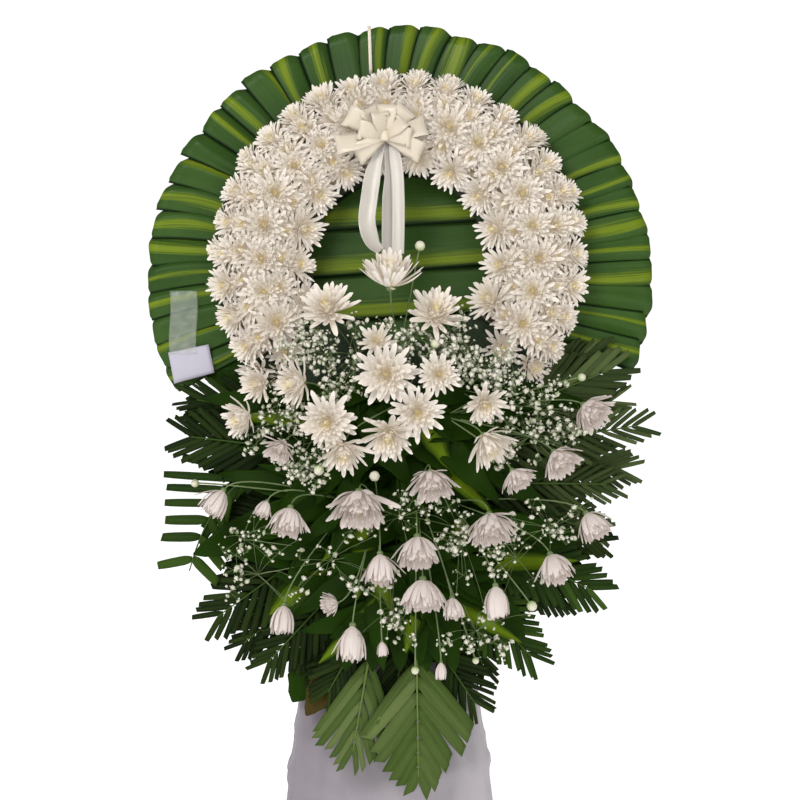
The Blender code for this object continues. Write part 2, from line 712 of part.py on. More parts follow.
def facing_of(yaw, pitch):
    a, b = math.radians(yaw), math.radians(pitch)
    return Vector((math.sin(a) * math.cos(b), -math.cos(a) * math.cos(b), math.sin(b)))


def spray_layout(group):
    """The heads, buds and stem paths of a spray group, in metres."""
    rx, rz, rd = group["root"]
    root = at(rx / 1000, rz / 1000, rd / 1000)
    start = Vector(group["start"])
    heads, buds, stems = [], [], []
    for x, z, size, yaw, pitch, closure, *rest in group["heads"]:
        depth = rest[0] if rest else 1000 * dome(x / 1000, z / 1000)
        facing = facing_of(yaw, pitch)
        radius = size / 1000
        middle = seen(x, z, depth)
        base = middle - facing * radius * (0.25 + 0.40 * closure)
        heads.append((base, facing, radius, closure))
        fork = root + start * (TRUNK_LENGTH + FORK_STEP * len(stems))
        away = (base - fork).normalized()
        reach = min(0.05, 0.4 * (base - fork).length)
        stems.append(bezier(fork - away * 0.002, fork + (away + start * 0.5) * reach * 0.8,
                            base - facing * reach, base, 4))
    for x, z, size in group["buds"]:
        centre = seen(x, z, 1000 * dome(x / 1000, z / 1000))
        fork = root + start * (TRUNK_LENGTH + FORK_STEP * len(stems))
        away = (centre - fork).normalized()
        facing = (away + Vector((0, -0.3, -0.2))).normalized()
        buds.append((centre, facing, size / 1000))
        stems.append(bezier(fork - away * 0.002, fork + (away + start * 0.5) * 0.02,
                            centre - facing * 0.03, centre, 3))
    return heads, buds, stems, [root, fork + start * 0.002]


def build_spray(head):
    """The free heads of the spray. Returns spheres that later twigs keep clear of."""
    taken = []
    for number, (name, group) in enumerate(SPRAY_GROUPS.items()):
        heads, buds, stems, trunk = spray_layout(group)
        shapes = [tube(trunk, TRUNK_RADIUS, 6)]
        draw = random.Random(200 + number)
        for (base, facing, radius, closure), path in zip(heads, stems):
            petals = 5 if radius < 0.028 else 6 if radius < 0.036 else 7
            shapes.append(stemmed_head(path, facing, radius * 0.92, petals, closure, draw.uniform(0, 1)))
            taken.append((base + facing * radius * 0.45, radius * 1.0))
        for (centre, facing, radius), path in zip(buds, stems[len(heads):]):
            shapes.append(stemmed_bud(path, facing, radius))
            taken.append((centre, radius * 1.3))
        for path in stems:
            for a, b in zip(path, path[1:]):
                steps = max(1, int((b - a).length / 0.003))
                taken += [(a.lerp(b, t / steps), 0.0025) for t in range(steps)]
        add_union(name, shapes, PETAL, head)
    return taken


def lift(x, z):
    """How far leaves bend forward over a point, growing with the distance from the foam."""
    dx = max(0.0, abs(x) - FOAM_LOWER[0][1])
    dz = max(0.0, FOAM_LOWER[1][0] - z)
    return 0.022 * (math.hypot(dx, dz) / 0.35) ** 2


def off_foam(flat, root):
    """A place on the board kept outside the foam block that its leaf is rooted in."""
    side, bottom = FOAM_LOWER[0][1] + SEAT, FOAM_LOWER[1][0] - SEAT
    if root.y > bottom + SEAT:
        return Vector((math.copysign(max(abs(flat.x), side), root.x), flat.y))
    return Vector((flat.x, min(flat.y, bottom)))


def frond_shape(root, tip, layer, longest, angle, pairs):
    """A trimmed palm frond: a slim rib and slanting leaflets in one thin arched blade."""
    root, tip = Vector(root) / 1000, Vector(tip) / 1000
    along = (tip - root).normalized()
    across = Vector((-along.y, along.x))
    length = (tip - root).length
    first, half_rib = 0.16, 0.0022
    slant = math.radians(angle)
    points, faces = [], []

    def add(flat, off):
        flat = off_foam(flat, root)
        sag = 0.006 * (off / 0.07) ** 2
        points.append(at(flat.x, flat.y, layer / 1000 + lift(flat.x, flat.y) - min(sag, 0.006)))
        return len(points) - 1

    def rib(t, side):
        width = half_rib * (1.25 - 0.7 * t)
        return add(root + along * length * t + across * side * width, 0.0)

    stations = [0.0]
    pitch = (1 - first) / pairs
    for i in range(pairs):
        stations += [first + i * pitch, first + (i + 0.86) * pitch]
    stations.append(1.0)
    left = [rib(t, 1) for t in stations]
    right = [rib(t, -1) for t in stations]
    for i in range(len(stations) - 1):
        faces.append((right[i], right[i + 1], left[i + 1], left[i]))
    for i in range(pairs):
        near, far = 1 + 2 * i, 2 + 2 * i
        a = stations[near]
        size = longest / 1000 * (0.10 + 0.90 * (1 - a ** 2.2)) * min(1.0, 0.75 + 1.2 * a)
        for side, row in ((1, left), (-1, right)):
            reach = along * math.cos(slant) + across * side * math.sin(slant)
            ends = []
            for t, share in ((stations[near], 0.93), (stations[far], 1.0)):
                start = root + along * length * t
                limit = size * share
                if start.x + reach.x * limit < -SIDE_TRIM:
                    limit = (-SIDE_TRIM - start.x) / reach.x
                pull = along * pitch * length * (0.04 if share < 1 else -0.05)
                end = start + reach * limit + pull
                ends.append(add(end, abs((end - root).dot(across))))
            if side == 1:
                faces.append((row[near], row[far], ends[1], ends[0]))
            else:
                faces.append((row[far], row[near], ends[0], ends[1]))
    return plate(points, faces, 0.0008)


def broad_leaf_shape(root, tip, half_width, layer):
    """A broad pointed leaf with a shallow fold along its middle."""
    root, tip = Vector(root) / 1000, Vector(tip) / 1000
    along = (tip - root).normalized()
    across = Vector((-along.y, along.x))
    length = (tip - root).length
    rows = ((0.0, 0.10), (0.22, 0.55), (0.45, 1.0), (0.70, 0.86), (0.90, 0.42), (1.0, 0.05))
    points, faces = [], []
    for t, width in rows:
        for side in (-1, 0, 1):
            flat = off_foam(root + along * length * t + across * side * width * half_width / 1000, root)
            raised = 0.004 * width * abs(side)
            points.append(at(flat.x, flat.y, layer / 1000 + lift(flat.x, flat.y) + raised))
    for r in range(len(rows) - 1):
        a = r * 3
        faces += [(a, a + 3, a + 4, a + 1), (a + 1, a + 4, a + 5, a + 2)]
    return plate(points, faces, 0.0009)


def cover_shape():
    """Short leaves side by side over the lower front of the foam, their points hanging below it."""
    lobes, half = 5, 0.099
    columns = []
    for lobe in range(lobes):
        left = -half + 2 * half * lobe / lobes
        wide = 2 * half / lobes
        columns += [(left, -0.528, -0.652, 0.0), (left + 0.5 * wide, -0.516, -0.706, 0.004),
                    (left + 0.97 * wide, -0.526, -0.660, 0.0015)]
    points, faces = [], []
    for x, top, bottom, ridge in columns:
        for share in (0.0, 0.6, 1.0):
            z = top + (bottom - top) * share
            points.append(at(x, z, FOAM_LOWER[2][1] + SEAT + 0.0010 + ridge * (1 - 0.5 * share)))
    for c in range(len(columns) - 1):
        for step in range(2):
            a = c * 3 + step
            faces.append((a, a + 1, a + 4, a + 3))
    return plate(points, faces, 0.0010)


def build_foliage(head):
    add_solid("foam_cover_leaves", cover_shape(), BROAD_LEAF, head)
    for name, (root, tip, layer, longest, angle, pairs, kind) in FRONDS.items():
        add_solid(name, frond_shape(root, tip, layer, longest, angle, pairs), kind, head)
    for name, (root, tip, half_width, layer) in BROAD_LEAVES.items():
        add_solid(name, broad_leaf_shape(root, tip, half_width, layer), BROAD_LEAF, head)


def path_is_clear(path, radius, taken):
    for a, b in zip(path, path[1:]):
        steps = max(2, int((b - a).length / 0.006))
        for i in range(steps + 1):
            p = a.lerp(b, i / steps)
            if any((p - c).length < r + radius + 0.001 for c, r in taken):
                return False
    return True


def build_breath(head, taken):
    """Sprays of tiny florets between the heads, each twig on a path that keeps clear of them."""
    for number, (name, (root_mm, clouds)) in enumerate(BREATH_CLOUDS.items()):
        draw = random.Random(330 + number)
        root = at(*(c / 1000 for c in (root_mm[0], root_mm[1], root_mm[2])))
        shapes, mine, hubs = [], [], [root]
        for cx, cz, wide, tall in clouds:
            twigs = 0
            hub = None
            for _ in range(400):
                x, z = cx + draw.uniform(-0.6, 0.6) * wide, cz + draw.uniform(-0.6, 0.6) * tall
                depth = 1000 * dome(x / 1000, z / 1000) * draw.uniform(0.72, 0.9)
                spot = seen(x, z, depth)
                fork = draw.choice(hubs)
                bend = Vector((0, -0.035, 0)) if fork == root else (spot - fork) * 0.3
                path = bezier(fork, fork + bend, spot + Vector((0, 0.02, 0)), spot, 3)
                if path_is_clear(path[1:], 0.0012, taken + mine):
                    hub, main = spot, path
                    break
            if hub is None:
                continue
            hubs = hubs[1:] if hubs[0] == root else hubs
            hubs.append(hub)
            stem = tube(main, 0.0011)
            shapes += [clamped(stem, 1, root.y, -1) if main[0] == root else stem, bead(hub, 0.003)]
            mine += [(a.lerp(b, t), 0.001) for a, b in zip(main, main[1:]) for t in (0, 0.33, 0.66)]
            for _ in range(500):
                if twigs == FLORETS_PER_CLOUD:
                    break
                x, z = cx + draw.uniform(-1, 1) * wide, cz + draw.uniform(-1, 1) * tall
                depth = 1000 * dome(x / 1000, z / 1000) * draw.uniform(0.82, 1.06)
                spot = seen(x, z, depth)
                if not path_is_clear([hub.lerp(spot, 0.25), spot], FLORET_RADIUS, taken + mine):
                    continue
                shapes.append(floret_twig(hub, spot))
                mine.append((spot, FLORET_RADIUS))
                mine += [(hub.lerp(spot, t / 10), 0.001) for t in range(2, 10)]
                twigs += 1
        taken += mine
        add_union(name, shapes, BREATH, head)


def build_ribbon(head):
    """The satin bow over the top of the wreath, its hanging tails and the strip above it."""
    knot = seen(-28, 262, 112)
    x, z, d = knot.x, knot.z, -knot.y
    size = 0.011
    shapes = [prism((x - size, x + size), (z - size, z + size), (d - 0.009, d + 0.016))]
    wire_foot = at(x, z, BOW_FOOT)
    shapes.append(tube([wire_foot, knot], 0.0016, 4))
    loops = ((172, 0.078, 0.004), (143, 0.062, 0.010), (205, 0.066, -0.002), (88, 0.045, 0.012),
             (32, 0.064, 0.010), (-12, 0.072, 0.002))
    for degrees, reach, forward in loops:
        out = polar(1.0, degrees, 0.0)
        side = polar(1.0, degrees + 90, 0.0)
        profile = ((0.0, 0.006), (0.55, 0.004), (0.93, 0.008), (1.0, 0.018), (0.70, 0.026), (0.0, 0.012))
        path = [knot + out * reach * r + Vector((0, -(h + forward * r), 0)) for r, h in profile]
        widths = [0.008, 0.026, 0.034, 0.034, 0.026, 0.008]
        shapes.append(strip(path, [side] * len(path), widths, 0.0009))
    add_union("ribbon_bow", shapes, SATIN, head)

    top = z - size - SEAT
    right = [at(x + 0.010, top, d)] + [seen(sx, sz, sd) for sx, sz, sd in
                                       ((-11, 205, 119), (-12, 150, 124), (-12, 100, 128), (-12, 48, 132))]
    left = [at(x - 0.004, top, d), seen(-48, 205, 120), seen(-58, 150, 126), seen(-62, 110, 130),
            seen(-50, 72, 133), seen(-38, 56, 136)]
    across = Vector((1, 0, 0))
    tilted = Vector((0.9, 0.30, 0.25)).normalized()
    shapes = [strip(right, [across] * len(right), [0.012] + [0.029] * 4, 0.0009),
              strip(left, [across] * 3 + [tilted] * 3, [0.012] + [0.024] * 5, 0.0009)]
    add_union("ribbon_tails", [clamped(shape, 2, top, -1) for shape in shapes], SATIN, head)

    low = at(-0.0535, 0.376, RUFF_RIM_HIGH + SEAT - 0.00055)
    high = at(-0.0565, 0.463, RUFF_RIM_HIGH + SEAT - 0.00055)
    add_solid("top_strip", strip([low, high], [across] * 2, [0.006] * 2, 0.0008), SATIN, head)


def build_card(head):
    """A blank note card held on the ruff by a piece of clear tape."""
    depth = RUFF_RIM_HIGH + SEAT - 0.0005
    corners = [(-425, -135), (-351, -120), (-340, -172), (-414, -192)]
    points = [at(x / 1000, z / 1000, depth) for x, z in reversed(corners)]
    add_solid("note_card", plate(points, [(0, 1, 2, 3)], 0.0006), CARD, head)
    rows = ((-22, 0.0), (-60, 0.0006), (-98, 0.0), (-136, 0.0))
    points, faces = [], []
    for z, rise in rows:
        points += [at(x / 1000, z / 1000, depth + 0.0009 + rise) for x in (-422, -372)]
    for r in range(len(rows) - 1):
        a = 2 * r
        faces.append((a, a + 2, a + 3, a + 1))
    add_solid("clear_tape", plate(points, faces, 0.0006), TAPE, head)


def set_on_origin(root):
    """Move the whole stand so that the middle of its box's underside is at the origin."""
    bpy.context.view_layer.update()
    corners = [thing.matrix_world @ v.co for thing in bpy.data.objects if thing.type == "MESH"
               for v in thing.data.vertices]
    low = [min(c[i] for c in corners) for i in range(3)]
    high = [max(c[i] for c in corners) for i in range(3)]
    root.location = (-(low[0] + high[0]) / 2, -(low[1] + high[1]) / 2, -low[2])


def main():
    clear_scene()
    root = add_empty("stand_origin")
    head = add_empty("flower_head", root)
    head.location = (0, 0, HEAD_HEIGHT)
    head.rotation_euler = (-LEAN, 0, 0)
    build_easel(root)
    build_cloth(root)
    build_board(head)
    build_ring(head)
    add_solid("spray_foam_lower", prism(*FOAM_LOWER), FOAM, head)
    add_solid("spray_foam_upper", prism(*FOAM_UPPER), FOAM, head)
    build_ruff(head)
    build_centre_leaves(head)
    build_wreath(head)
    taken = build_spray(head)
    build_foliage(head)
    build_breath(head, taken)
    build_ribbon(head)
    build_card(head)
    set_on_origin(root)


main()
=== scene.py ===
"""Funeral flower stand: fine petals, leaves, twigs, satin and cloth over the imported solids."""
import random
from math import copysign, cos, exp, hypot, pi, radians, sin, sqrt, tan

import bpy
import numpy as np
from mathutils import Matrix, Vector


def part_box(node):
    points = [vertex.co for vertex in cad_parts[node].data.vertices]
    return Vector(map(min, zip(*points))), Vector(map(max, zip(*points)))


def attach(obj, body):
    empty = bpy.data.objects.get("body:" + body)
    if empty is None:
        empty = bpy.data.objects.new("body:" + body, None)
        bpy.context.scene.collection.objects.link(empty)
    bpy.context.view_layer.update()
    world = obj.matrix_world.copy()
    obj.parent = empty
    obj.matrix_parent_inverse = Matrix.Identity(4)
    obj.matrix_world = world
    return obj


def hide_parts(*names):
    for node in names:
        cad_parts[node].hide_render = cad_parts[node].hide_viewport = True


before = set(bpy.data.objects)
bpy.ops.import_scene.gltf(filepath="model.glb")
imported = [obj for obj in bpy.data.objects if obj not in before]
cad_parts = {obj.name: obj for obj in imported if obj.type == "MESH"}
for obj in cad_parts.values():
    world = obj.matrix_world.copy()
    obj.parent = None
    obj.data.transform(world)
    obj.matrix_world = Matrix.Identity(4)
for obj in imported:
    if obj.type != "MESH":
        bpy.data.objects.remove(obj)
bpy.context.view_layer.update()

# Sizes shared with the solids, in metres and degrees
SEAT = 0.0003
LEAN = radians(8.0)
HEAD_HEIGHT = 1.27
STAND_X = -0.022
TONGUE_BOTTOM = -0.684
SIGHT_Z, SIGHT_DISTANCE, SIGHT_WIDTH = -0.222, 3.0, 1.48
RUFF_START, RUFF_PITCH = -22.0, 6.486
RUFF_SECTORS, SECTOR_LEAVES = 7, 5
RUFF_INNER, RUFF_BEND, RUFF_OUTER = 0.20, 0.37, 0.466
RUFF_LOW, RUFF_HIGH, RUFF_RIM_HIGH = 0.0021, 0.022, 0.028
RING_X, RING_Z = -0.002, 0.033
FOAM_SIDE, FOAM_BOTTOM, FOAM_FRONT = 0.10, -0.664, 0.070
FOAM_STEP, FOAM_UPPER_FRONT = -0.31, 0.115
WREATH_START, WREATH_SECTORS = -35.0, 6
SECTOR_ANGLE = 250.0 / WREATH_SECTORS
CORE_PROFILE = ((0.170, 0.0603), (0.325, 0.0603), (0.325, 0.068), (0.295, 0.080),
                (0.250, 0.086), (0.200, 0.080), (0.170, 0.068))
SPRAY_MIDDLE, SPRAY_HALF = -0.33, (0.43, 0.47)
SPRAY_BASE, SPRAY_DOME = 0.075, 0.13
TRUNK_LENGTH, FORK_STEP = 0.009, 0.0015
SIDE_TRIM = 0.447
BOARD_THICKNESS = 0.012
LEG_SIDE, LEG_SLOPE, BLOCK_BOTTOM, BLOCK_DEPTH, REAR_FOOT_Y = 0.030, 0.115, 1.335, 0.055, 0.27
CLOTH_FOOT_HALF_WIDTH, CLOTH_THICKNESS, CLOTH_HEM, CLOTH_TOP = 0.2205, 0.004, 0.012, 0.585
CLOTH_REAR_HALF_WIDTH, CLOTH_GAP = 0.028, 0.006

FRONT, UP = Vector((0, -1, 0)), Vector((0, 0, 1))
MIDDLE = (0.5, 0.5, 0.5, 0.5)
BLACK, WHITE = (0, 0, 0), (1, 1, 1)
LEAF_THICK, PALM_THICK, SATIN_THICK = 0.0009, 0.0007, 0.0004

# Rows of open heads: radius, count in a sector, tilt, depth, shift inwards, size of a head
WREATH_ROWS = ((0.190, 2, -35.0, 0.0745, 0.0, 0.041), (0.252, 3, 0.0, 0.0825, 0.003, 0.043),
               (0.315, 4, 38.0, 0.0700, 0.010, 0.037))
# Smaller heads between them: radius, count in a sector, tilt, depth, size
WREATH_FILLERS = ((0.221, 3, -15, 0.078, 0.036), (0.278, 4, 18, 0.077, 0.036), (0.319, 4, 58, 0.060, 0.027))
# Heads past the two ends, by sector: angle, radius, depth, tilt
WREATH_ENDS = {0: ((-38.5, 0.300, 0.052, 40), (-40.5, 0.245, 0.050, 10)),
               5: ((219.0, 0.322, 0.050, 45), (219.5, 0.262, 0.052, 5), (225.5, 0.300, 0.044, 40),
                   (224.0, 0.350, 0.040, 60))}
# The head that makes room for the bow's knot, as sector and number
UNDER_BOW, BOW_ROOM, BOW_FOOT = (3, 2), 0.012, 0.0822

# Root in millimetres, heads (x, z, radius, yaw, pitch, closure and some with a depth) and buds
# (x, z, radius) of each group of free flowers. The trunk of the crown points up, the others forward.
SPRAY_GROUPS = {
    "crown": (
        (0, -153.7, 88),
        [(-18, 8, 50, 0, 62, 0.45, 190), (-135, -52, 46, -12, 28, 0.2, 168),
         (65, -61, 46, 8, 30, 0.2, 168), (-43, -113, 30, 0, 10, 0.2, 172)],
        [(37, 63, 9)]),
    "left_upper": (
        (-80, -250, 115.3),
        [(-192, -191, 41, -50, -5, 0.3), (-222, -311, 27, -20, -35, 0.5), (-135, -263, 46, -5, -12, 0.1),
         (-264, -192, 31, -35, -5, 0.3), (-292, -255, 35, -45, -15, 0.4)],
        [(-150, -352, 9)]),
    "centre": (
        (0, -225, 115.3),
        [(-26, -174, 50, 0, 0, 0.1), (72, -174, 35, 5, 0, 0.1), (32, -244, 43, 3, -8, 0.1),
         (-22, -288, 44, -3, -30, 0.25), (-105, -318, 38, 0, -42, 0.35)],
        [(65, -118, 8)]),
    "right_upper": (
        (80, -250, 115.3),
        [(157, -229, 35, 10, -22, 0.2), (163, -302, 43, 35, -45, 0.4), (352, -242, 39, 45, -35, 0.5),
         (294, -331, 37, 40, -45, 0.5), (215, -364, 31, 45, -50, 0.5)],
        [(336, -180, 7)]),
    "left_lower": (
        (-85, -400, 70.3),
        [(-337, -407, 34, -50, -55, 0.85), (-206, -440, 37, -15, -60, 0.7),
         (-251, -420, 22, -40, -55, 0.8), (-216, -623, 33, -10, -72, 0.9)],
        [(-379, -376, 7)]),
    "centre_left": (
        (-40, -400, 70.3),
        [(-76, -413, 52, 0, -50, 0.5), (-37, -529, 37, 0, -68, 0.85), (-89, -666, 41, -5, -68, 0.95),
         (-33, -680, 17, 10, -72, 0.95), (-126, -600, 22, -60, -10, 0.6)],
        [(-47, -363, 9)]),
    "centre_right": (
        (30, -385, 70.3),
        [(58, -372, 41, 5, -52, 0.5), (33, -496, 43, 5, -62, 0.6), (43, -577, 44, 5, -68, 0.65),
         (98, -603, 27, 20, -66, 0.8), (76, -720, 19, 0, -78, 1.0)],
        [(28, -722, 7), (140, -704, 6)]),
    "right_lower": (
        (85, -400, 70.3),
        [(168, -453, 43, 10, -55, 0.55), (355, -448, 37, 50, -50, 0.7),
         (284, -527, 38, 30, -60, 0.7), (178, -590, 37, 8, -72, 0.95)],
        [(244, -603, 9)]),
}

# Root's x and z, tip's x and z, layer depth, longest leaflet, leaflet angle, pairs, closeness, colour
FRONDS = {
    "left_1": (-100.3, -322, -432, -282, 52, 118, 40, 15, 0.56, "dark"),
    "left_2": (-100.3, -352, -382, -532, 44, 152, 62, 10, 0.24, "green"),
    "left_3": (-100.3, -450, -376, -648, 36, 112, 40, 13, 0.50, "dark"),
    "left_4": (-100.3, -550, -268, -730, 28, 90, 38, 12, 0.56, "dark"),
    "right_1": (100.3, -322, 492, -258, 52, 98, 38, 16, 0.42, "olive"),
    "right_2": (100.3, -372, 425, -375, 44, 100, 38, 14, 0.42, "olive"),
    "right_3": (100.3, -450, 396, -590, 36, 105, 40, 14, 0.56, "green"),
    "right_4": (100.3, -550, 265, -716, 28, 95, 38, 12, 0.56, "green"),
    "bottom_1": (62, -664.3, 150, -795, 36, 85, 36, 9, 0.56, "dark"),
    "bottom_2": (-52, -664.3, -92, -898, 46, 172, 25, 7, 0.60, "light"),
    "bottom_3": (30, -664.3, 34, -950, 58, 172, 35, 8, 0.70, "light"),
}
# The one frond whose rib bows out, and the point its rib bends towards
BOWED, BOWED_VIA = "left_2", (-318, -286)
# Fronds behind each of them: the same, without closeness and colour; they take the dark leaflets as painted
# shade, except behind the olive ones
BEHIND = {
    "left_1": ((-150, -262, -412, -214, 30, 104, 30, 16), (-150, -300, -400, -235, 24, 96, 32, 15),
               (-150, -345, -352, -332, 26, 88, 36, 12), (-190, -272, -392, -262, 21, 84, 36, 12)),
    "left_3": ((-130, -540, -316, -692, 18, 84, 34, 12), (-150, -430, -330, -580, 22, 92, 38, 12),
               (-130, -500, -300, -640, 20, 88, 38, 12), (-150, -400, -320, -470, 24, 92, 38, 12)),
    "left_4": ((-101, -520, -205, -720, 20, 82, 34, 10), (-101, -570, -160, -748, 18, 74, 34, 10)),
    "right_1": ((150, -290, 430, -212, 24, 100, 30, 17), (150, -335, 392, -320, 26, 92, 36, 13),
                (150, -262, 424, -150, 34, 118, 27, 9), (150, -235, 400, -120, 18, 100, 26, 15)),
    "right_2": ((150, -400, 392, -470, 24, 92, 38, 13), (150, -320, 446, -352, 28, 108, 34, 16)),
    "right_3": ((150, -410, 398, -494, 24, 88, 36, 13), (150, -430, 350, -520, 22, 92, 38, 12),
                (130, -500, 330, -600, 20, 88, 38, 12)),
    "right_4": ((101, -520, 215, -690, 20, 82, 34, 10), (101, -570, 165, -745, 18, 74, 34, 10)),
    "bottom_1": ((70, -664.5, 118, -760, 24, 70, 34, 8),),
    "bottom_2": ((-42, -664.5, -150, -765, 26, 85, 36, 9), (-80, -664.5, -140, -770, 42, 76, 34, 7)),
    "bottom_3": ((2, -664.5, -8, -800, 30, 90, 36, 9),),
}
BEHIND_CLOSENESS = 0.62
# Root's x and z, tip's x and z, half width, layer depth, share of the stripe, material
BROAD_LEAVES = {
    "left_1": (-100.3, -395, -372, -500, 38, 66, 0.30, "broad"),
    "left_2": (-100.3, -500, -236, -610, 34, 66, 0.75, "broad"),
    "right_1": (100.3, -400, 300, -545, 36, 66, 0.30, "broad"),
    "right_2": (100.3, -520, 225, -650, 34, 66, 0.30, "broad"),
    "bottom": (-82, -664.3, -172, -800, 32, 24, 0.30, "brown"),
}
# Backing leaves: root's x and z, tip's x and z, share of the stripe
BACKING_LEAVES = (
    (140, -232, 378, -122, 0.3), (140, -275, 392, -185, 0.85), (150, -205, 345, -150, 0.3),
    (-140, -250, -366, -168, 0.3), (-140, -215, -345, -150, 0.3), (-120, -645, -198, -778, 0.3),
    (-85, -430, -196, -600, 0.3), (85, -430, 196, -600, 0.3), (-80, -540, -215, -668, 0.3),
    (80, -540, 200, -660, 0.3), (-90, -600, -130, -720, 0.3), (90, -600, 120, -715, 0.3))
# Root, twigs in a cloud, long loose twigs round it, and clouds (x, z, half width, half height)
BREATH_CLOUDS = {
    "upper": ((0, -196, 115.3), 27, 0, ((-80, -140, 45, 70), (25, -105, 60, 45), (105, -120, 40, 60))),
    "left": ((-98, -200, 115.3), 23, 0, ((-231, -268, 55, 40), (-165, -130, 40, 45), (-190, -340, 50, 30))),
    "right": ((98, -200, 115.3), 25, 0, ((262, -240, 65, 50), (170, -160, 50, 35), (240, -290, 60, 40))),
    "lower_left": ((-72, -500, 70.3), 6, 7,
                   ((-263, -545, 60, 50), (-130, -520, 50, 60), (-290, -480, 40, 40))),
    "lower": ((-5, -455, 70.3), 10, 7, ((0, -440, 60, 40), (111, -470, 30, 75), (-15, -610, 50, 50))),
    "lower_right": ((72, -500, 70.3), 10, 7,
                    ((277, -460, 60, 40), (215, -515, 50, 45), (140, -650, 50, 30))),
}

board_low, board_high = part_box("backing_board")
ROOT = Vector(((board_low[0] + board_high[0]) / 2, board_low[1] - TONGUE_BOTTOM * sin(LEAN), 0.0))
HEAD = Matrix.Translation(ROOT + HEAD_HEIGHT * UP) @ Matrix.Rotation(-LEAN, 4, "X")


# Places on the flower head: X right, Z up along the board, -Y out of it

def at(x, z, depth):
    return Vector((x, -depth, z))


def seen(x_mm, z_mm, depth_mm):
    """A point at a depth, on the line of sight through x and z on the board, from millimetres."""
    depth = depth_mm / 1000
    nearer = 1 - depth / SIGHT_DISTANCE
    return at(x_mm / 1000 * nearer, SIGHT_Z + (z_mm / 1000 - SIGHT_Z) * nearer, depth)


def polar(radius, degrees, depth, middle=(0.0, 0.0)):
    turn = radians(degrees)
    return at(middle[0] + radius * cos(turn), middle[1] + radius * sin(turn), depth)


def on_wreath(radius, degrees, depth):
    return polar(radius, degrees, depth, (RING_X, RING_Z))


def tilted(degrees, tilt):
    """A direction tilted from straight out towards an angle round the wreath."""
    lean = radians(tilt)
    return polar(1.0, degrees, 0.0) * sin(lean) + FRONT * cos(lean)


def dome(x, z):
    inside = 1 - (x / SPRAY_HALF[0]) ** 2 - ((z - SPRAY_MIDDLE) / SPRAY_HALF[1]) ** 2
    return SPRAY_BASE + SPRAY_DOME * sqrt(max(0.0, inside))


def on_dome(x_mm, z_mm, share=1.0):
    """A point seen at a share of the spray's depth there."""
    return seen(x_mm, z_mm, 1000 * dome(x_mm / 1000, z_mm / 1000) * share)


def lift(x, z):
    """How far forward the leaves bend away from the foam's sides and lower end."""
    dx = max(0.0, abs(x) - FOAM_SIDE)
    dz = max(0.0, FOAM_BOTTOM - z)
    return 0.022 * (hypot(dx, dz) / 0.35) ** 2


def facing_of(yaw, pitch):
    a, b = radians(yaw), radians(pitch)
    return Vector((sin(a) * cos(b), -cos(a) * cos(b), sin(b)))


def bezier(p0, p1, p2, p3, steps):
    return [(1 - t) ** 3 * p0 + 3 * (1 - t) ** 2 * t * p1 + 3 * (1 - t) * t * t * p2 + t ** 3 * p3
            for t in (i / steps for i in range(steps + 1))]


def through(points, steps):
    """A smooth path through points."""
    path = []
    last = len(points) - 1
    for i in range(last):
        a, b, c, d = points[max(i - 1, 0)], points[i], points[i + 1], points[min(i + 2, last)]
        for k in range(steps):
            t = k / steps
            path.append(0.5 * (2 * b + (c - a) * t + (2 * a - 5 * b + 4 * c - d) * t * t
                               + (3 * b - 3 * c + d - a) * t ** 3))
    return path + [points[-1].copy()]


def heading(path, i):
    return (path[min(i + 1, len(path) - 1)] - path[max(i - 1, 0)]).normalized()


def smooth(value):
    value = min(1.0, max(0.0, value))
    return value * value * (3 - 2 * value)


def between(value, stops):
    """Value's place on a line through (x, y) stops, eased between them."""
    for (x0, y0), (x1, y1) in zip(stops, stops[1:]):
        if value <= x1:
            return y0 + (y1 - y0) * smooth((value - x0) / (x1 - x0))
    return stops[-1][1]


def add_object(name, data):
    made = bpy.data.objects.new(name, data)
    bpy.context.scene.collection.objects.link(made)
    return made


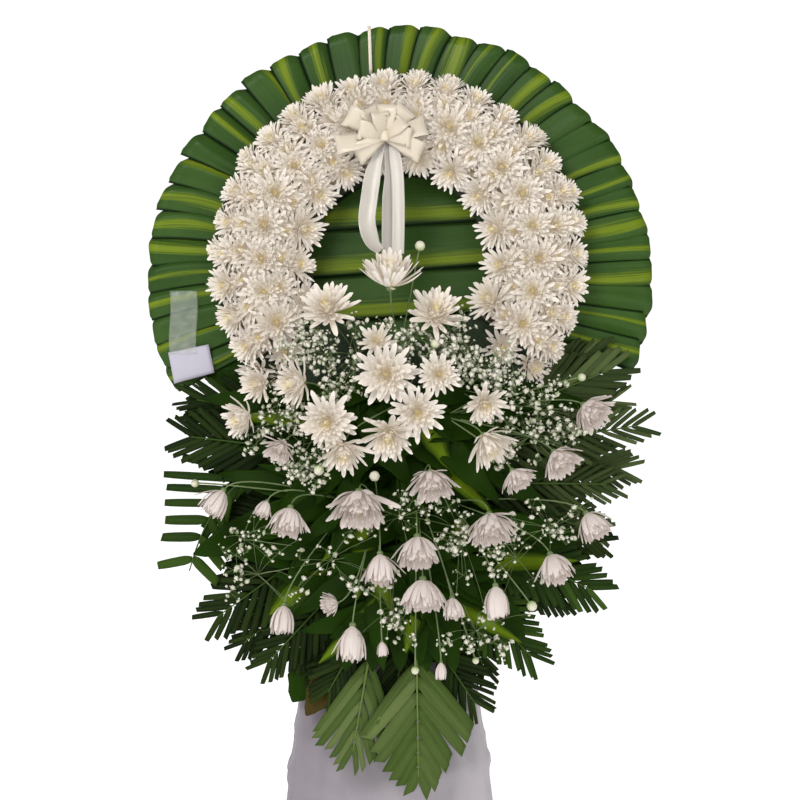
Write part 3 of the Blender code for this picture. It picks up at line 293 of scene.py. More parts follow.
class Piece:
    """Grids of points gathered into one object. Each point carries (across, along, part, chance)."""

    def __init__(self):
        self.points, self.values, self.quads, self.kinds = [], [], [], []
        self.count = 0

    def grid(self, points, values, kind=0, wrap=False):
        """Points of shape (rows, columns, 3), or a batch of them with one more axis in front."""
        points = np.asarray(points, dtype=np.float64)
        values = np.broadcast_to(np.asarray(values, dtype=np.float64), points.shape[:-1] + (4,))
        if points.ndim == 3:
            points, values = points[None], values[None]
        batch, rows, columns, _ = points.shape
        index = np.arange(rows * columns).reshape(rows, columns)
        right = np.roll(index, -1, axis=1)
        if not wrap:
            index, right = index[:, :-1], right[:, :-1]
        quads = np.stack([index[:-1], right[:-1], right[1:], index[1:]], axis=-1).reshape(-1, 4)
        starts = self.count + np.arange(batch)[:, None, None] * rows * columns
        self.quads.append((quads[None] + starts).reshape(-1, 4))
        self.kinds.append(np.full(batch * len(quads), kind))
        self.points.append(points.reshape(-1, 3))
        self.values.append(values.reshape(-1, 4))
        self.count += batch * rows * columns

    def surface(self, rows, columns, shape, kind=0, wrap=False):
        """A grid where shape gives the point and values at each share of the rows and columns."""
        made = [[shape(i / rows, k / columns) for k in range(columns + (not wrap))] for i in range(rows + 1)]
        self.grid([[point for point, _ in row] for row in made],
                  [[values for _, values in row] for row in made], kind, wrap)

    def tube(self, path, radius, sides=5, kind=0, values=MIDDLE):
        radii = radius if isinstance(radius, list) else [radius] * len(path)
        rings = []
        for i, point in enumerate(path):
            ahead = heading(path, i)
            u = ahead.cross(Vector((0.31, 0.52, 0.79))).normalized()
            v = ahead.cross(u)
            rings.append([point + radii[i] * (cos(a) * u + sin(a) * v)
                          for a in (2 * pi * k / sides for k in range(sides))])
        self.grid(rings, values, kind, wrap=True)

    def make(self, name, kinds, node, solid=0.0, on_head=True):
        """The gathered grids as one object that stands for a node."""
        points, quads = np.concatenate(self.points), np.concatenate(self.quads)
        if on_head:
            turn = np.array(HEAD)
            points = points @ turn[:3, :3].T + turn[:3, 3]
        mesh = bpy.data.meshes.new(name)
        mesh.from_pydata(points, [], quads, shade_flat=False)
        mesh.polygons.foreach_set("material_index", np.concatenate(self.kinds).astype(np.int32))
        blade = mesh.attributes.new("blade", "FLOAT_COLOR", "POINT")
        blade.data.foreach_set("color", np.concatenate(self.values).astype(np.float32).ravel())
        for kind in kinds:
            mesh.materials.append(MATERIALS[kind])
        made = add_object(name, mesh)
        if solid:
            thick = made.modifiers.new("thickness", "SOLIDIFY")
            thick.thickness = solid
            thick.offset = 0.0
        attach(made, "root")
        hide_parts(node)
        return made


# Materials

def arithmetic(operation, swapped=False):
    """A method of Out that adds a Math node."""
    def method(self, other=0.0):
        return self.look.math(operation, *((other, self) if swapped else (self, other)))
    return method


class Out:
    """A node's output. Arithmetic with it adds Math nodes."""
    __add__, __sub__, __rsub__ = arithmetic("ADD"), arithmetic("SUBTRACT"), arithmetic("SUBTRACT", True)
    __mul__, __truediv__, __pow__ = arithmetic("MULTIPLY"), arithmetic("DIVIDE"), arithmetic("POWER")
    __abs__ = arithmetic("ABSOLUTE")

    def __init__(self, look, socket):
        self.look, self.socket = look, socket


class Look:
    """A Principled material and short calls for its nodes."""

    def __init__(self, name, colour, roughness, **sockets):
        self.material = bpy.data.materials.new(name)
        self.material.use_nodes = True
        self.tree = self.material.node_tree
        self.shader = self.tree.nodes["Principled BSDF"]
        self.shader.inputs["Base Color"].default_value = (*colour, 1.0)
        self.shader.inputs["Roughness"].default_value = roughness
        for key, value in sockets.items():
            self.shader.inputs[key.replace("_", " ")].default_value = value

    def feed(self, socket, value):
        if isinstance(value, Out):
            self.tree.links.new(value.socket, socket)
        else:
            socket.default_value = (*value, 1.0) if isinstance(value, tuple) else value

    def node(self, kind, inputs=(), output=0, **settings):
        """A node with its inputs fed by position or by name, and one of its outputs."""
        made = self.tree.nodes.new("ShaderNode" + kind)
        for key, value in settings.items():
            setattr(made, key, value)
        for place, value in inputs.items() if isinstance(inputs, dict) else enumerate(inputs):
            self.feed(made.inputs[place], value)
        return Out(self, made.outputs[output])

    def blade(self):
        """The point values (across, along, part, chance) as outputs."""
        vector = self.node("Attribute", output="Vector", attribute_name="blade")
        chance = self.node("Attribute", output="Alpha", attribute_name="blade")
        return (*self.split(vector), chance)

    def split(self, vector):
        return [self.node("SeparateXYZ", (vector,), i) for i in range(3)]

    def place(self):
        """The object's own coordinates."""
        return self.node("TexCoord", output="Object")

    def math(self, operation, *values):
        return self.node("Math", values, operation=operation)

    def sine(self, value):
        return self.math("SINE", value)

    def vector(self, *values):
        return self.node("CombineXYZ", values)

    def noise(self, scale, detail=3.0, vector=None, roughness=0.5):
        return self.node("TexNoise", {"Vector": vector or self.place(), "Scale": scale,
                                      "Detail": detail, "Roughness": roughness}, "Fac")

    def ramp(self, value, stops):
        made = self.node("ValToRGB", (value,))
        elements = made.socket.node.color_ramp.elements
        while len(elements) < len(stops):
            elements.new(0.5)
        for element, (place, colour) in zip(elements, stops):
            element.position = place
            element.color = (*colour, 1.0)
        return made

    def mix(self, factor, a, b, blend="MIX"):
        return self.node("Mix", {"Factor": factor, 6: a, 7: b}, 2, data_type="RGBA", blend_type=blend)

    def finish(self, colour, height, strength, distance, rough=None):
        """Joins colour, bumps and any uneven roughness to the shader. Returns the material."""
        bumps = self.node("Bump", {"Strength": strength, "Distance": distance, "Height": height})
        for socket, value in (("Base Color", colour), ("Normal", bumps), ("Roughness", rough)):
            if value:
                self.feed(self.shader.inputs[socket], value)
        return self.material


def petal_look(name, tip, cream, heart):
    # The warm emission is a painted glow on the petals. It stands in for light through them and lifts the
    # shade between them.
    look = Look(name, tip, 0.6, Emission_Strength=0.10, Emission_Color=(1.0, 0.91, 0.79, 1.0),
                Specular_IOR_Level=0.25)
    across, along, depth, chance = look.blade()
    value = (1.0 - along) ** 2.2 * 0.42 + depth ** 3.0 * 0.95 + (chance - 0.5) * 0.14
    body = look.ramp(value, [(0.0, tip), (0.35, cream), (0.95, heart)])
    lines = look.noise(1.0, 2.0, look.vector(across * 9.0, along, chance * 40.0))
    return look.finish(look.mix(lines * 0.22, body, (0.70, 0.62, 0.56), "MULTIPLY"), lines, 0.35, 0.0006)


def leaf_look(name, dark, mid, stripe, stripe_share, streaks, gloss, ribs, reach=0.0):
    """A leaf with a stripe where (part) is high. With a reach, painted shade darkens it towards both long
    edges, in the creases where the leaves overlap.
    """
    look = Look(name, dark, gloss, Specular_IOR_Level=0.12 if reach else 0.04)
    across, along, part, chance = look.blade()
    grain = look.noise(1.0, 4.0, look.vector(across * streaks, along * 1.6, chance * 53.0), 0.6)
    cloudy = look.noise(14.0)
    body = look.mix(chance * 0.35, look.mix((grain + cloudy) * 0.5, dark, mid), mid)
    shown = look.ramp(part + (grain - 0.5) * 0.85, [(0.38, BLACK), (0.68, (stripe_share,) * 3)])
    striped = look.mix(shown, body, stripe)
    if reach:
        # Painted shade in the creases: near both long edges the colour goes to a third of the dark green.
        inside = look.ramp(across / reach, [(0.06, BLACK), (0.14, WHITE), (0.84, WHITE), (0.90, BLACK)])
        striped = look.mix(inside, tuple(c * 0.35 for c in dark), striped)
    return look.finish(striped, look.sine(across * ribs) * 0.35 + grain, 0.25, 0.0006,
                       cloudy * 0.18 + (gloss - 0.09))


def palm_look(name, dark, mid, rib):
    look = Look(name, dark, 0.5, Specular_IOR_Level=0.06)
    across, along, part, chance = look.blade()
    grain = look.noise(1.0, 3.0, look.vector(across * 12.0, along * 2.0, chance * 37.0))
    body = look.mix(grain * 0.40 + chance ** 2.0 * 0.60, dark, mid)
    line = look.ramp(abs(across - 0.5), [(0.0, WHITE), (0.07, BLACK)])
    return look.finish(look.mix(line * part, body, rib), look.sine(across * 55.0) + grain, 0.3, 0.0004)


def cloudy_look(name, roughness, cloud, colours, grain, strength, distance, places=(0.0, 1.0), **sockets):
    """One noise through colours at places, over the bumps of another; a noise is (scale, detail)."""
    look = Look(name, colours[0], roughness, **sockets)
    body = look.ramp(look.noise(*cloud), list(zip(places, colours)))
    return look.finish(body, look.noise(*grain), strength, distance)


def breath_look():
    look = Look("breath_floret", (0.74, 0.76, 0.68), 0.7)
    _, along, _, chance = look.blade()
    tone = look.ramp(along + chance * 0.3, [(0.25, BLACK), (0.8, WHITE)])
    body = look.mix(tone, (0.30, 0.38, 0.17), (0.63, 0.60, 0.51))
    return look.finish(body, look.noise(900.0), 0.5, 0.0008)


def bud_look():
    look = Look("bud", (0.66, 0.70, 0.48), 0.55)
    across, along, _, _ = look.blade()
    wave = look.sine(across * 62.8)
    body = look.ramp(wave * 0.12 + along, [(0.2, (0.18, 0.27, 0.08)), (0.45, (0.46, 0.50, 0.28)),
                                           (0.8, (0.62, 0.58, 0.48))])
    return look.finish(body, wave, 0.5, 0.0006)


def satin_look(name, light, shade):
    look = Look(name, light, 0.32, Sheen_Weight=0.3, Sheen_Roughness=0.4, Anisotropic=0.5)
    across, along, _, _ = look.blade()
    cloud = look.noise(30.0)
    hem = look.ramp(abs(across - 0.5), [(0.45, BLACK), (0.47, WHITE)])
    return look.finish(look.mix(cloud, light, shade), look.sine(along * 900.0) * 0.25 + hem, 0.25, 0.0003,
                       cloud * 0.15 + 0.26)


def cloth_look():
    look = Look("stand_fabric", (0.40, 0.37, 0.42), 0.8, Sheen_Weight=0.25, Sheen_Roughness=0.5)
    across, along, _, _ = look.blade()
    cloud = look.noise(5.0, 4.0)
    # Painted light and shade: the cloth is mixed from a shaded colour on its left to a lit colour on its
    # right, as if lit from the right.
    right = look.ramp(look.split(look.place())[0] * 2.2 + 0.5, [(0.1, BLACK), (0.9, WHITE)])
    painted_shade_side = look.mix(cloud, (0.205, 0.182, 0.207), (0.265, 0.238, 0.262))
    lit = look.mix(cloud, (0.33, 0.305, 0.328), (0.48, 0.445, 0.47))
    weave = look.sine(across * 6200.0) * look.sine(along * 2900.0)
    crease = look.noise(9.0) + look.noise(26.0) * 0.35
    return look.finish(look.mix(right, painted_shade_side, lit), weave * 0.03 + crease, 0.5, 0.012, crease * 0.2 + 0.68)


def wood_look():
    look = Look("batten_wood", (0.55, 0.42, 0.28), 0.6)
    x, y, z = look.split(look.place())
    grain = look.noise(1.0, 5.0, look.vector(x * 120.0, y * 120.0, z * 6.0), 0.65)
    body = look.ramp(grain, [(0.3, (0.34, 0.22, 0.12)), (0.52, (0.56, 0.41, 0.26)),
                             (0.75, (0.68, 0.53, 0.36))])
    return look.finish(body, grain, 0.3, 0.001, grain * 0.25 + 0.48)


MATERIALS = {
    "petal": petal_look("petal", (0.68, 0.635, 0.580), (0.74, 0.67, 0.54), (0.88, 0.77, 0.34)),
    "petal_bell": petal_look("petal_bell", (0.58, 0.515, 0.490), (0.56, 0.49, 0.45), (0.55, 0.48, 0.32)),
    # The ruff's reach of 1.3 turns on the painted crease shade along its leaves' edges.
    "ruff": leaf_look("ruff_leaf", (0.006, 0.027, 0.003), (0.044, 0.096, 0.016), (0.145, 0.20, 0.008),
                      0.85, 26.0, 0.40, 70.0, 1.3),
    "broad": leaf_look("broad_leaf", (0.0006, 0.003, 0.0003), (0.016, 0.046, 0.001), (0.12, 0.19, 0.006),
                       0.80, 16.0, 0.42, 60.0),
    "brown": leaf_look("faded_leaf", (0.014, 0.016, 0.003), (0.080, 0.054, 0.012), (0.08, 0.09, 0.01),
                       0.4, 16.0, 0.5, 60.0),
    "dark": palm_look("palm_leaflet", (0.001, 0.0045, 0.0004), (0.024, 0.043, 0.006), (0.04, 0.08, 0.015)),
    "green": palm_look("palm_leaflet_green", (0.003, 0.013, 0.001), (0.045, 0.090, 0.010),
                       (0.05, 0.09, 0.02)),
    "olive": palm_look("palm_leaflet_olive", (0.006, 0.015, 0.002), (0.085, 0.118, 0.038),
                       (0.06, 0.10, 0.025)),
    "light": palm_look("palm_leaflet_light", (0.024, 0.052, 0.004), (0.125, 0.165, 0.055),
                       (0.11, 0.16, 0.04)),
    "stem": cloudy_look("stem", 0.5, (60.0,), ((0.055, 0.105, 0.022), (0.19, 0.245, 0.10)),
                        (400.0,), 0.3, 0.0004),
    "breath": breath_look(),
    "bud": bud_look(),
    "core": cloudy_look("wreath_core", 0.8, (38.0, 4.0),
                        ((0.020, 0.018, 0.010), (0.30, 0.25, 0.17), (0.55, 0.49, 0.36)),
                        (160.0, 5.0), 0.8, 0.004, (0.38, 0.52, 0.70)),
    "satin": satin_look("satin", (0.60, 0.53, 0.425), (0.51, 0.445, 0.345)),
    # The tails' satins are darker copies of the bow's satin: painted shade.
    "satin_tail_painted_shade": satin_look("satin_tail_painted_shade", (0.47, 0.43, 0.375), (0.40, 0.365, 0.32)),
    "satin_painted_shade": satin_look("satin_painted_shade", (0.37, 0.34, 0.305), (0.31, 0.285, 0.255)),
    "cloth": cloth_look(),
    "tape": cloudy_look("clear_film", 0.12, (75.0, 4.0), ((0.30, 0.36, 0.28), (0.80, 0.82, 0.76)),
                        (75.0, 4.0), 0.9, 0.003, Alpha=0.15, Coat_Weight=0.8, Coat_Roughness=0.08),
    "card": cloudy_look("blank_card", 0.6, (40.0, 5.0), ((0.38, 0.362, 0.425), (0.44, 0.418, 0.485)),
                        (500.0,), 0.25, 0.0003),
    "wood": wood_look(),
    # The board and the foam are near black: painted shade for the dark gaps seen between the blooms and
    # leaves.
    "board": cloudy_look("board_painted_shade", 0.8, (30.0, 4.0), ((0.010, 0.016, 0.007), (0.040, 0.034, 0.018)),
                         (300.0,), 0.3, 0.0006),
    "foam": cloudy_look("foam_painted_shade", 0.9, (220.0, 4.0), ((0.006, 0.014, 0.005), (0.03, 0.05, 0.02)),
                        (500.0, 4.0), 0.8, 0.002),
}


# Flowers

PETAL_ROWS = np.array([0.0, 0.20, 0.44, 0.68, 0.90, 1.0])
PETAL_WIDTHS = np.array([0.40, 0.68, 0.94, 1.0, 0.70, 0.16])
BLUNTER = np.array([0.10, 0.12, 0.06, 0.04, 0.24, 0.26])
# Growth of the head, then width, raggedness, material and bluntness of its petals
OPEN_PETALS, BELL_PETALS = (1.08, 0.100, 0.15, 0, 0.15), (1.03, 0.112, 0.09, 2, 0.6)
# The golden angle, by which each petal turns from the last, and the steps along a petal's bend
PETAL_TURN, PETAL_STEPS = 2.39996, 24


def add_bloom(piece, base, facing, radius, closure, count, seed, width, ragged, kind=0, blunt=0.0):
    """A chrysanthemum: petals in a close spiral, short and steep in the middle, long at the outside."""
    draw = np.random.RandomState(seed)
    order = np.arange(count)
    inner = order / (count - 1.0)
    turn = order * PETAL_TURN + draw.uniform(-0.12, 0.12, count)
    length = radius * (1.06 + 0.60 * closure) * (1.0 - (0.64 - 0.30 * closure) * inner ** 0.9)
    length *= 1 + draw.uniform(-ragged, ragged * 0.8, count)
    steep = np.radians(3 + 8 * closure) + np.radians(70 - 18 * closure) * inner ** 0.75
    steep += np.radians(draw.uniform(-6, 6, count))
    bend = np.radians(14 + 82 * closure) * (1 - inner) + np.radians(42 + 4 * closure) * inner
    bend += np.radians(draw.uniform(-9, 9, count)) * (1 - 0.4 * closure)
    flare = np.radians(draw.uniform(2, 24, count)) * (1 - 0.8 * closure)
    if closure > 0.4:
        stray = (order < count * 0.20) & (draw.uniform(0, 1, count) < 0.07)
        bend[stray] *= 0.5
    fine = np.linspace(0, 1, PETAL_STEPS + 1)
    angle = steep[:, None] + bend[:, None] * fine ** (1.2 - 0.68 * closure) - flare[:, None] * fine ** 4
    step = length[:, None] / PETAL_STEPS
    out = np.cumsum(np.cos(angle) * step, axis=1) - np.cos(angle[:, :1]) * step
    up = np.cumsum(np.sin(angle) * step, axis=1) - np.sin(angle[:, :1]) * step
    out += (0.07 * radius * (1 - inner))[:, None]
    up += (radius * (0.02 + 0.16 * inner))[:, None]
    pick = (PETAL_ROWS * PETAL_STEPS).round().astype(int)
    out, up, angle = out[:, pick], up[:, pick], angle[:, pick]
    half = radius * width * (1 - 0.42 * inner)[:, None] * (PETAL_WIDTHS + blunt * BLUNTER)
    half = half * (1 + draw.uniform(-0.15, 0.2, count))[:, None]
    roll = draw.uniform(-0.25, 0.25, count)
    points = np.zeros((count, len(PETAL_ROWS), 3, 3))
    cos, sin = np.cos(turn)[:, None], np.sin(turn)[:, None]
    for column, side in enumerate((-1.0, 0.0, 1.0)):
        raise_by = half * (0.42 * abs(side) + roll[:, None] * side)
        radial = out - np.sin(angle) * raise_by
        points[:, :, column, 0] = radial * cos - side * half * sin
        points[:, :, column, 1] = radial * sin + side * half * cos
        points[:, :, column, 2] = up + np.cos(angle) * raise_by
    turned = UP.rotation_difference(facing).to_matrix().to_4x4()
    place = np.array(Matrix.Translation(base) @ turned)
    points = points @ place[:3, :3].T + place[:3, 3]
    values = np.zeros(points.shape[:-1] + (4,))
    values[..., 0] = np.array((0.0, 0.5, 1.0))
    values[..., 1] = PETAL_ROWS[None, :, None]
    values[..., 2] = inner[:, None, None]
    values[..., 3] = draw.uniform(0, 1, count)[:, None, None]
    piece.grid(points, values, kind)


def add_round(piece, centre, axis, radius, height, kind, lumps=0.0, columns=8, rows=6, chance=0.5):
    """A closed rounded form along an axis, its along value 0 at the foot."""
    turn = UP.rotation_difference(axis).to_matrix()

    def shape(t, u):
        a = 2 * pi * u
        r = radius * sin(pi * min(max(t, 0.02), 0.98)) * (1 + lumps * cos(a * columns / 2 + t * rows * pi))
        point = Vector((r * cos(a), r * sin(a), -height * cos(pi * t) / 2))
        return centre + turn @ point, (u, t, 0.5, chance)

    piece.surface(rows, columns, shape, kind, wrap=True)


def sector_degrees(sector, share):
    return WREATH_START + SECTOR_ANGLE * (sector + share)


def build_wreath():
    """Packed heads in three rows over the core, smaller ones between them and a few past the ends."""
    for sector in range(WREATH_SECTORS):
        piece = Piece()
        piece.grid([[on_wreath(r, sector_degrees(sector, i / 14), d) for r, d in reversed(CORE_PROFILE)]
                    for i in range(15)], MIDDLE, 1, wrap=True)
        spread, draw = random.Random(100 + sector), random.Random(500 + sector)
        number = 0
        for radius, count, tilt, depth, inward, size in WREATH_ROWS:
            for k in range(count):
                degrees = sector_degrees(sector, (k + 0.5) / count)
                shift = spread.uniform(-0.003, 0.003)
                facing = tilted(degrees, tilt + spread.uniform(-7, 7))
                # the turn of the solid head, which a fine head doesn't need
                spread.uniform(0, 1)
                room = BOW_ROOM if (sector, number) == UNDER_BOW else 0.0
                base = on_wreath(radius + shift - inward, degrees, depth - room)
                add_bloom(piece, base, facing, size * draw.uniform(0.92, 1.10), draw.uniform(0.02, 0.25),
                          104, 1000 * sector + number, width=0.088, ragged=0.10)
                number += 1
        for row, (radius, count, tilt, depth, size) in enumerate(WREATH_FILLERS):
            for k in range(count):
                jog = draw.uniform(0.35, 0.5)
                degrees = sector_degrees(sector, (k + (jog if row else 0.5)) / count)
                facing = tilted(degrees, tilt + draw.uniform(-12, 12))
                base = on_wreath(radius + draw.uniform(-0.006, 0.006), degrees, depth)
                add_bloom(piece, base, facing, size * draw.uniform(0.9, 1.1), draw.uniform(0.05, 0.3), 80,
                          7000 + 100 * sector + 10 * row + k, width=0.098, ragged=0.10)
        for number, (degrees, radius, depth, tilt) in enumerate(WREATH_ENDS.get(sector, ())):
            add_bloom(piece, on_wreath(radius, degrees, depth), tilted(degrees, tilt),
                      0.041 - 0.002 * number, 0.2, 100, 9000 + 10 * sector + number, width=0.090,
                      ragged=0.10)
        piece.make(f"wreath_blooms_fine_{sector + 1}", ["petal", "core"],
                   f"wreath_blooms_{sector + 1}")


def add_stem(stems, root, start, end, facing=None):
    """A stem to a head or a bud, forking a little further along the trunk than the last. A bud has no
    facing yet and gets its stem's."""
    fork = root + start * (TRUNK_LENGTH + FORK_STEP * len(stems))
    away = (end - fork).normalized()
    if facing:
        arrive = min(0.05, 0.4 * (end - fork).length)
        leave, steps = arrive * 0.8, 14
    else:
        facing = (away + Vector((0, -0.3, -0.2))).normalized()
        arrive, leave, steps = 0.03, 0.02, 12
    stems.append(bezier(fork - away * 0.002, fork + (away + start * 0.5) * leave, end - facing * arrive, end,
                        steps))
    return facing


def build_spray():
    """The free flowers. Returns spheres that the small florets keep out of."""
    taken = []
    for number, (name, (root, head_rows, bud_rows)) in enumerate(SPRAY_GROUPS.items()):
        root, start = at(*(c / 1000 for c in root)), UP if name == "crown" else FRONT
        heads, buds, stems = [], [], []
        for x, z, size, yaw, pitch, closure, *depth in head_rows:
            facing, radius = facing_of(yaw, pitch), size / 1000
            place = seen(x, z, depth[0]) if depth else on_dome(x, z)
            base = place - facing * radius * (0.25 + 0.40 * closure)
            heads.append((base, add_stem(stems, root, start, base, facing), radius, closure))
        for x, z, size in bud_rows:
            centre = on_dome(x, z)
            buds.append((centre, add_stem(stems, root, start, centre), size / 1000))
        piece = Piece()
        piece.tube([root, root + start * (TRUNK_LENGTH + FORK_STEP * len(stems))], 0.0045, 8, 1)
        for path in stems:
            piece.tube(path, 0.0014, 6, 1)
        for index, (base, facing, radius, closure) in enumerate(heads):
            bell = closure >= 0.5
            count = (116 if radius > 0.03 else 76) + (44 if bell else 0)
            grown, *petals = BELL_PETALS if bell else OPEN_PETALS
            add_bloom(piece, base, facing, radius * grown, closure, count,
                      3000 + 100 * number + index, *petals)
            add_round(piece, base - facing * radius * 0.03, facing, radius * 0.16, radius * 0.26, 1)
            taken.append((base + facing * radius * 0.45, radius * 0.85))
        for centre, facing, radius in buds:
            add_round(piece, centre, facing, radius, radius * 2.1, 3, 0.04, 12, 8)
            taken.append((centre, radius * 1.1))
        piece.make(f"spray_blooms_fine_{name}", ["petal", "stem", "petal_bell", "bud"],
                   f"spray_blooms_{name}")
    return taken


def build_breath(taken):
    """Branching twigs with tiny florets, in clouds between the flowers."""
    for number, (name, (root, twigs, loose, clouds)) in enumerate(BREATH_CLOUDS.items()):
        draw = random.Random(610 + number)
        root = at(*(c / 1000 for c in root))
        piece = Piece()
        for cx, cz, wide, tall in clouds:
            for _ in range(loose):
                x, z = cx + draw.uniform(-2.0, 2.0) * wide, cz + draw.uniform(-1.8, 1.6) * tall
                if (x / 370) ** 2 + ((z + 380) / 330) ** 2 > 1:
                    continue
                low = on_dome(cx, cz, 0.7)
                end = on_dome(x, z, draw.uniform(0.95, 1.1))
                droop = low.lerp(end, 0.7) + Vector((0, -0.01, draw.uniform(-0.01, 0.02)))
                piece.tube(bezier(low, low.lerp(end, 0.3) + Vector((0, -0.02, 0.01)), droop, end, 10),
                           0.0004, 3, 1)
                add_round(piece, end, Vector((0, -0.3, -1)).normalized(), 0.0028, 0.005, 0, 0.3, 8, 4)
            hub = on_dome(cx, cz, 0.78)
            piece.tube(bezier(root, root + Vector((0, -0.035, 0)), hub + Vector((0, 0.02, 0)), hub, 10),
                       0.0009, 4, 1)
            for _ in range(twigs):
                x, z = cx + draw.uniform(-1.25, 1.25) * wide, cz + draw.uniform(-1.2, 1.2) * tall
                knee = on_dome(x, z, draw.uniform(0.80, 0.98))
                piece.tube(bezier(hub, hub.lerp(knee, 0.4) + Vector((0, -0.006, 0.004)),
                                  hub.lerp(knee, 0.8), knee, 5), 0.0005, 3, 1)
                for _ in range(draw.choice((6, 7, 8, 9))):
                    away = Vector((draw.uniform(-1, 1), draw.uniform(-0.9, 0.3), draw.uniform(-1, 1)))
                    spot = knee + away.normalized() * draw.uniform(0.008, 0.024)
                    size = draw.choice((draw.uniform(0.0016, 0.0026), draw.uniform(0.0032, 0.0054)))
                    if any((spot - c).length < r + size for c, r in taken):
                        continue
                    piece.tube([knee, knee.lerp(spot, 0.6) + Vector((0, 0, 0.001)), spot], 0.00035, 3, 1)
                    add_round(piece, spot, away.normalized(), size, size * draw.uniform(1.1, 1.7), 0, 0.34,
                              8, 4, draw.uniform(0, 1))
        piece.make(f"babys_breath_{name}_fine", ["breath", "stem"], f"babys_breath_{name}")


# Leaves

# Stops across or along the leaves. A strap leaf runs on under the next one, to LEAF_REACH
LEAF_REACH = 1.20
RIM_STOPS = ((0.0, 0.990), (0.42, 1.002), (0.975, 0.998), (1.2, 0.989))
CENTRE_DEPTHS = ((0.0, 0.0140), (0.35, 0.0128), (1.0, 0.0034), (1.2, 0.0026))
BROAD_WIDTHS = ((0.0, 0.10), (0.22, 0.62), (0.45, 1.0), (0.72, 0.86), (0.90, 0.45), (1.0, 0.05))
LEAFLET_WIDTHS = (0.50, 0.86, 1.0, 1.0, 1.0, 0.98, 0.95, 0.90, 0.80)
# The few leaves of the edge near this angle slant more
STEEPER_AT, STEEPER_WITHIN = 146, 9
COVER_LOBES, FLAT_LEAVES, TUCKED_LEAVES = 5, 42, 120


def add_ruff_leaf(piece, leaf, jitter, draw):
    slant = draw.uniform(-0.010, 0.014)
    middle = draw.uniform(0.30, 0.80)
    wide = draw.choice((draw.uniform(0.08, 0.16), draw.uniform(0.14, 0.34)))
    if draw.random() < 0.14:
        middle = -1.0
    if abs(RUFF_START + leaf * RUFF_PITCH - STEEPER_AT) < STEEPER_WITHIN:
        slant += 0.014
    curl, lean = draw.uniform(-1.5, 1.5), draw.uniform(-0.10, 0.10)
    leaves = RUFF_SECTORS * SECTOR_LEAVES
    swirl = 5.5 * sin(pi * (leaf + 0.5) / leaves) ** 0.6 * cos(0.16 * leaf - 5.0)
    chance = draw.uniform(0, 1)
    wave = draw.uniform(0, 6.28)
    second = draw.random() < 0.30

    def strap(share, across):
        s = LEAF_REACH * across
        start = RUFF_LOW + 0.0075 * smooth(share * 1.4)
        depth = between(s, ((0.0, start), (0.5, RUFF_HIGH), (0.975, RUFF_HIGH * 0.80), (1.2, 0.0165)))
        rim = RUFF_OUTER * 0.990 * (between(s, RIM_STOPS) + slant * (s - 0.5) * 2) * (1 + 0.008 * jitter)
        rim -= 0.003 * smooth(1 - s / 0.06)
        radius = RUFF_INNER + (rim - RUFF_INNER) * share
        outer = max(0.0, (radius - RUFF_BEND) / (RUFF_OUTER - RUFF_BEND))
        depth *= 1 + outer * (RUFF_RIM_HIGH / RUFF_HIGH - 1)
        depth += 0.0010 * sin(9 * share + wave + 2 * s) * smooth(share * 2)
        degrees = RUFF_START + (leaf + s) * RUFF_PITCH + swirl * share ** 2
        degrees += curl * sin(pi * share) * sin(pi * min(s, 1.0)) * 2 * share
        stripe = 0.75 - abs(s - middle - lean * (share - 0.5) * 2) / wide * 0.35
        if second:
            stripe = max(stripe, 0.62 - abs(s - 0.12) / 0.07 * 0.3)
        return polar(radius, degrees, max(depth, RUFF_LOW)), (s, share, max(0.0, stripe), chance)

    piece.surface(14, 16, strap)


def build_ruff():
    """Overlapping strap leaves round the board, each with a pale stripe along it."""
    jitter, draw = random.Random(11), random.Random(21)
    for sector in range(RUFF_SECTORS):
        piece = Piece()
        for leaf in range(sector * SECTOR_LEAVES, (sector + 1) * SECTOR_LEAVES):
            add_ruff_leaf(piece, leaf, jitter.uniform(-1, 1), draw)
        piece.make(f"leaf_ruff_fine_{sector + 1}", ["ruff"], f"leaf_ruff_{sector + 1}",
                   LEAF_THICK)


def build_centre_leaves():
    """Strap leaves laid across the hole of the wreath, each over the one above it."""
    bands, low, high, reach = 4, -0.150, 0.186, 0.190
    draw = random.Random(31)
    piece = Piece()
    step = (high - low) / bands
    for band in range(bands):
        middle, wide = draw.uniform(0.12, 0.30), draw.uniform(0.17, 0.24)
        tilt = draw.uniform(0.05, 0.09)
        chance = draw.uniform(0, 1)

        def strap(t, share):
            s = -0.06 + 1.18 * t
            z = low + step * (band + s)
            half = sqrt(max(reach ** 2 - z ** 2, 0.02 ** 2))
            x = -half + 2 * half * share
            stripe = 0.75 - abs(s + tilt * x * 4 - middle) / wide * 0.35
            depth = between(s, CENTRE_DEPTHS) + 0.0006 * sin(9 * x / reach + band)
            # Across starts 0.10 in, which narrows the painted crease shade of the ruff material along each
            # band's first edge.
            return at(x, z + tilt * x, depth), (s + 0.10, share, max(0.0, stripe), chance)

        piece.surface(12, 20, strap)
    piece.make("centre_leaves_fine", ["ruff"], "centre_leaves", LEAF_THICK)


def off_foam(flat, root):
    """The place moved out to the foam's side or lower end, whichever the frond's root is on."""
    side, bottom = FOAM_SIDE + SEAT, FOAM_BOTTOM - SEAT
    if root.y > bottom + SEAT:
        return Vector((copysign(max(abs(flat.x), side), root.x), flat.y))
    return Vector((flat.x, min(flat.y, bottom)))


